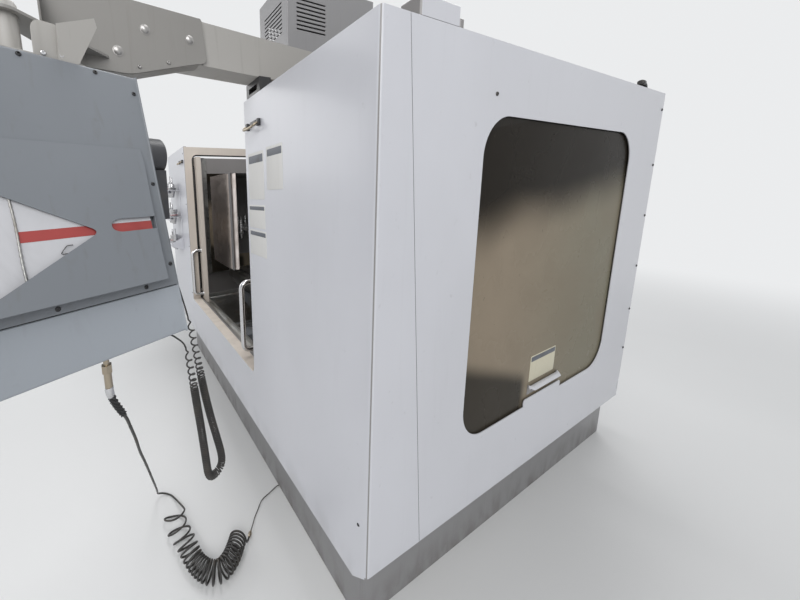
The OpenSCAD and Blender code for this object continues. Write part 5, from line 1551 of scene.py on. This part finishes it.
class MACHINE_OT_panel_screws(bpy.types.Operator):
    """Set the screws of the enclosure's sheets"""
    bl_idname = "machine.panel_screws"
    bl_label = "Panel screws"

    def execute(self, context):
        return run(make_panel_screws)


class MACHINE_OT_seam_shadow_beads(bpy.types.Operator):
    """Lay the dark beads of painted shade in the enclosure's seams"""
    bl_idname = "machine.seam_seals"
    bl_label = "Seam shadow beads"

    def execute(self, context):
        return run(make_seam_shadow_beads)


class MACHINE_OT_label_plates(bpy.types.Operator):
    """Fix the bare plates on the front sheet and the window"""
    bl_idname = "machine.label_plates"
    bl_label = "Bare plates"

    def execute(self, context):
        return run(make_label_plates)


class MACHINE_OT_window_lips(bpy.types.Operator):
    """Fix the rolled lifting lips on the panes"""
    bl_idname = "machine.window_lips"
    bl_label = "Window lips"

    def execute(self, context):
        return run(make_window_lips)


class MACHINE_OT_latches(bpy.types.Operator):
    """Fix the pull latches high on the front sheets"""
    bl_idname = "machine.latches"
    bl_label = "Latches"

    def execute(self, context):
        return run(make_latches)


class MACHINE_OT_shroud(bpy.types.Operator):
    """Bend the bright sheet over the carousel shroud's front"""
    bl_idname = "machine.shroud"
    bl_label = "Shroud front"

    def execute(self, context):
        return run(make_shroud_front)


class MACHINE_OT_sill(bpy.types.Operator):
    """Lay the cream sill strip"""
    bl_idname = "machine.sill"
    bl_label = "Sill"

    def execute(self, context):
        return run(make_sill_strip)


class MACHINE_OT_top_fittings(bpy.types.Operator):
    """Set the box and the elbow on the enclosure's top edge"""
    bl_idname = "machine.top_fittings"
    bl_label = "Top fittings"

    def execute(self, context):
        return run(make_top_fittings)


class MACHINE_OT_pendant(bpy.types.Operator):
    """Build the pendant's shell, the dark strip of painted shade in its seam, its post and screws
    """
    bl_idname = "machine.pendant"
    bl_label = "Pendant"

    def execute(self, context):
        return run(make_pendant_shell, make_pendant_screws)


class MACHINE_OT_pocket(bpy.types.Operator):
    """Fold the pocket on the pendant's back with its booklet"""
    bl_idname = "machine.pocket"
    bl_label = "Manual pocket"

    def execute(self, context):
        return run(make_manual_pocket)


class MACHINE_OT_arm_end(bpy.types.Operator):
    """Build the hanger and the folded plate on the arm's end"""
    bl_idname = "machine.arm_end"
    bl_label = "Arm end"

    def execute(self, context):
        return run(make_pendant_hanger, make_arm_plate)


class MACHINE_OT_softened(bpy.types.Operator):
    """Round the edges of the sharp solids"""
    bl_idname = "machine.softened"
    bl_label = "Softened solids"

    def execute(self, context):
        return run(soften_nodes)


class MACHINE_OT_rack_tools(bpy.types.Operator):
    """Stand the tool holders in the rack"""
    bl_idname = "machine.rack_tools"
    bl_label = "Rack tools"

    def execute(self, context):
        return run(make_rack_tools)


class MACHINE_OT_cabinet(bpy.types.Operator):
    """Fix the cabinet's louvres, hinges, locks and switch plate"""
    bl_idname = "machine.cabinet"
    bl_label = "Cabinet fittings"

    def execute(self, context):
        return run(make_cabinet_fittings)


class MACHINE_OT_rear(bpy.types.Operator):
    """Build the lubricator, the tank lids, the pump and the conduit"""
    bl_idname = "machine.rear"
    bl_label = "Rear fittings"

    def execute(self, context):
        return run(make_rear_fittings)


class MACHINE_OT_nozzles(bpy.types.Operator):
    """Hang the jointed coolant nozzles below the spindle"""
    bl_idname = "machine.nozzles"
    bl_label = "Coolant nozzles"

    def execute(self, context):
        return run(make_coolant_nozzles)


class MACHINE_OT_door_trim(bpy.types.Operator):
    """Fix the handle flanges and the pane gaskets of the doors"""
    bl_idname = "machine.door_trim"
    bl_label = "Door trim"

    def execute(self, context):
        return run(make_door_trim)


class MACHINE_OT_control_panel(bpy.types.Operator):
    """Build the operator's side of the pendant"""
    bl_idname = "machine.control_panel"
    bl_label = "Control panel"

    def execute(self, context):
        return run(make_control_panel)


class MACHINE_OT_stage(bpy.types.Operator):
    """Lay the studio floor and set the lamps and the world"""
    bl_idname = "machine.stage"
    bl_label = "Stage"

    def execute(self, context):
        return run(make_stage)


STEPS = (
    MACHINE_OT_camera, MACHINE_OT_finishes, MACHINE_OT_curly_cord, MACHINE_OT_air_hose,
    MACHINE_OT_panel_screws, MACHINE_OT_seam_shadow_beads, MACHINE_OT_label_plates,
    MACHINE_OT_window_lips, MACHINE_OT_latches, MACHINE_OT_sill, MACHINE_OT_shroud,
    MACHINE_OT_top_fittings, MACHINE_OT_pendant, MACHINE_OT_pocket, MACHINE_OT_arm_end,
    MACHINE_OT_softened, MACHINE_OT_rack_tools, MACHINE_OT_cabinet, MACHINE_OT_rear,
    MACHINE_OT_nozzles, MACHINE_OT_door_trim, MACHINE_OT_control_panel, MACHINE_OT_stage,
)


class MACHINE_PT_panel(bpy.types.Panel):
    """Lists the steps that dress the machine, with its colours and sizes"""
    bl_idname = "MACHINE_PT_panel"
    bl_label = "Machining Center"
    bl_space_type = "VIEW_3D"
    bl_region_type = "UI"
    bl_category = "Machine"

    def draw(self, context):
        column = self.layout.column()
        for step in STEPS:
            column.operator(step.bl_idname)
        for group in (context.scene.machine_colours, context.scene.machine_sizes):
            for key in group.__annotations__:
                column.prop(group, key)


CLASSES = (MachineColours, MachineSizes, *STEPS, MACHINE_PT_panel)


def register():
    """Registers the classes and hangs their colours and sizes on the scene."""
    for cls in CLASSES:
        bpy.utils.register_class(cls)
    bpy.types.Scene.machine_colours = bpy.props.PointerProperty(type=MachineColours)
    bpy.types.Scene.machine_sizes = bpy.props.PointerProperty(type=MachineSizes)


def unregister():
    """Takes back what register does."""
    del bpy.types.Scene.machine_sizes
    del bpy.types.Scene.machine_colours
    for cls in reversed(CLASSES):
        bpy.utils.unregister_class(cls)


def main():
    """Registers the add-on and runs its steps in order."""
    register()
    for step in STEPS:
        group, name = step.bl_idname.split(".")
        getattr(getattr(bpy.ops, group), name)()


if __name__ == "__main__":
    main()
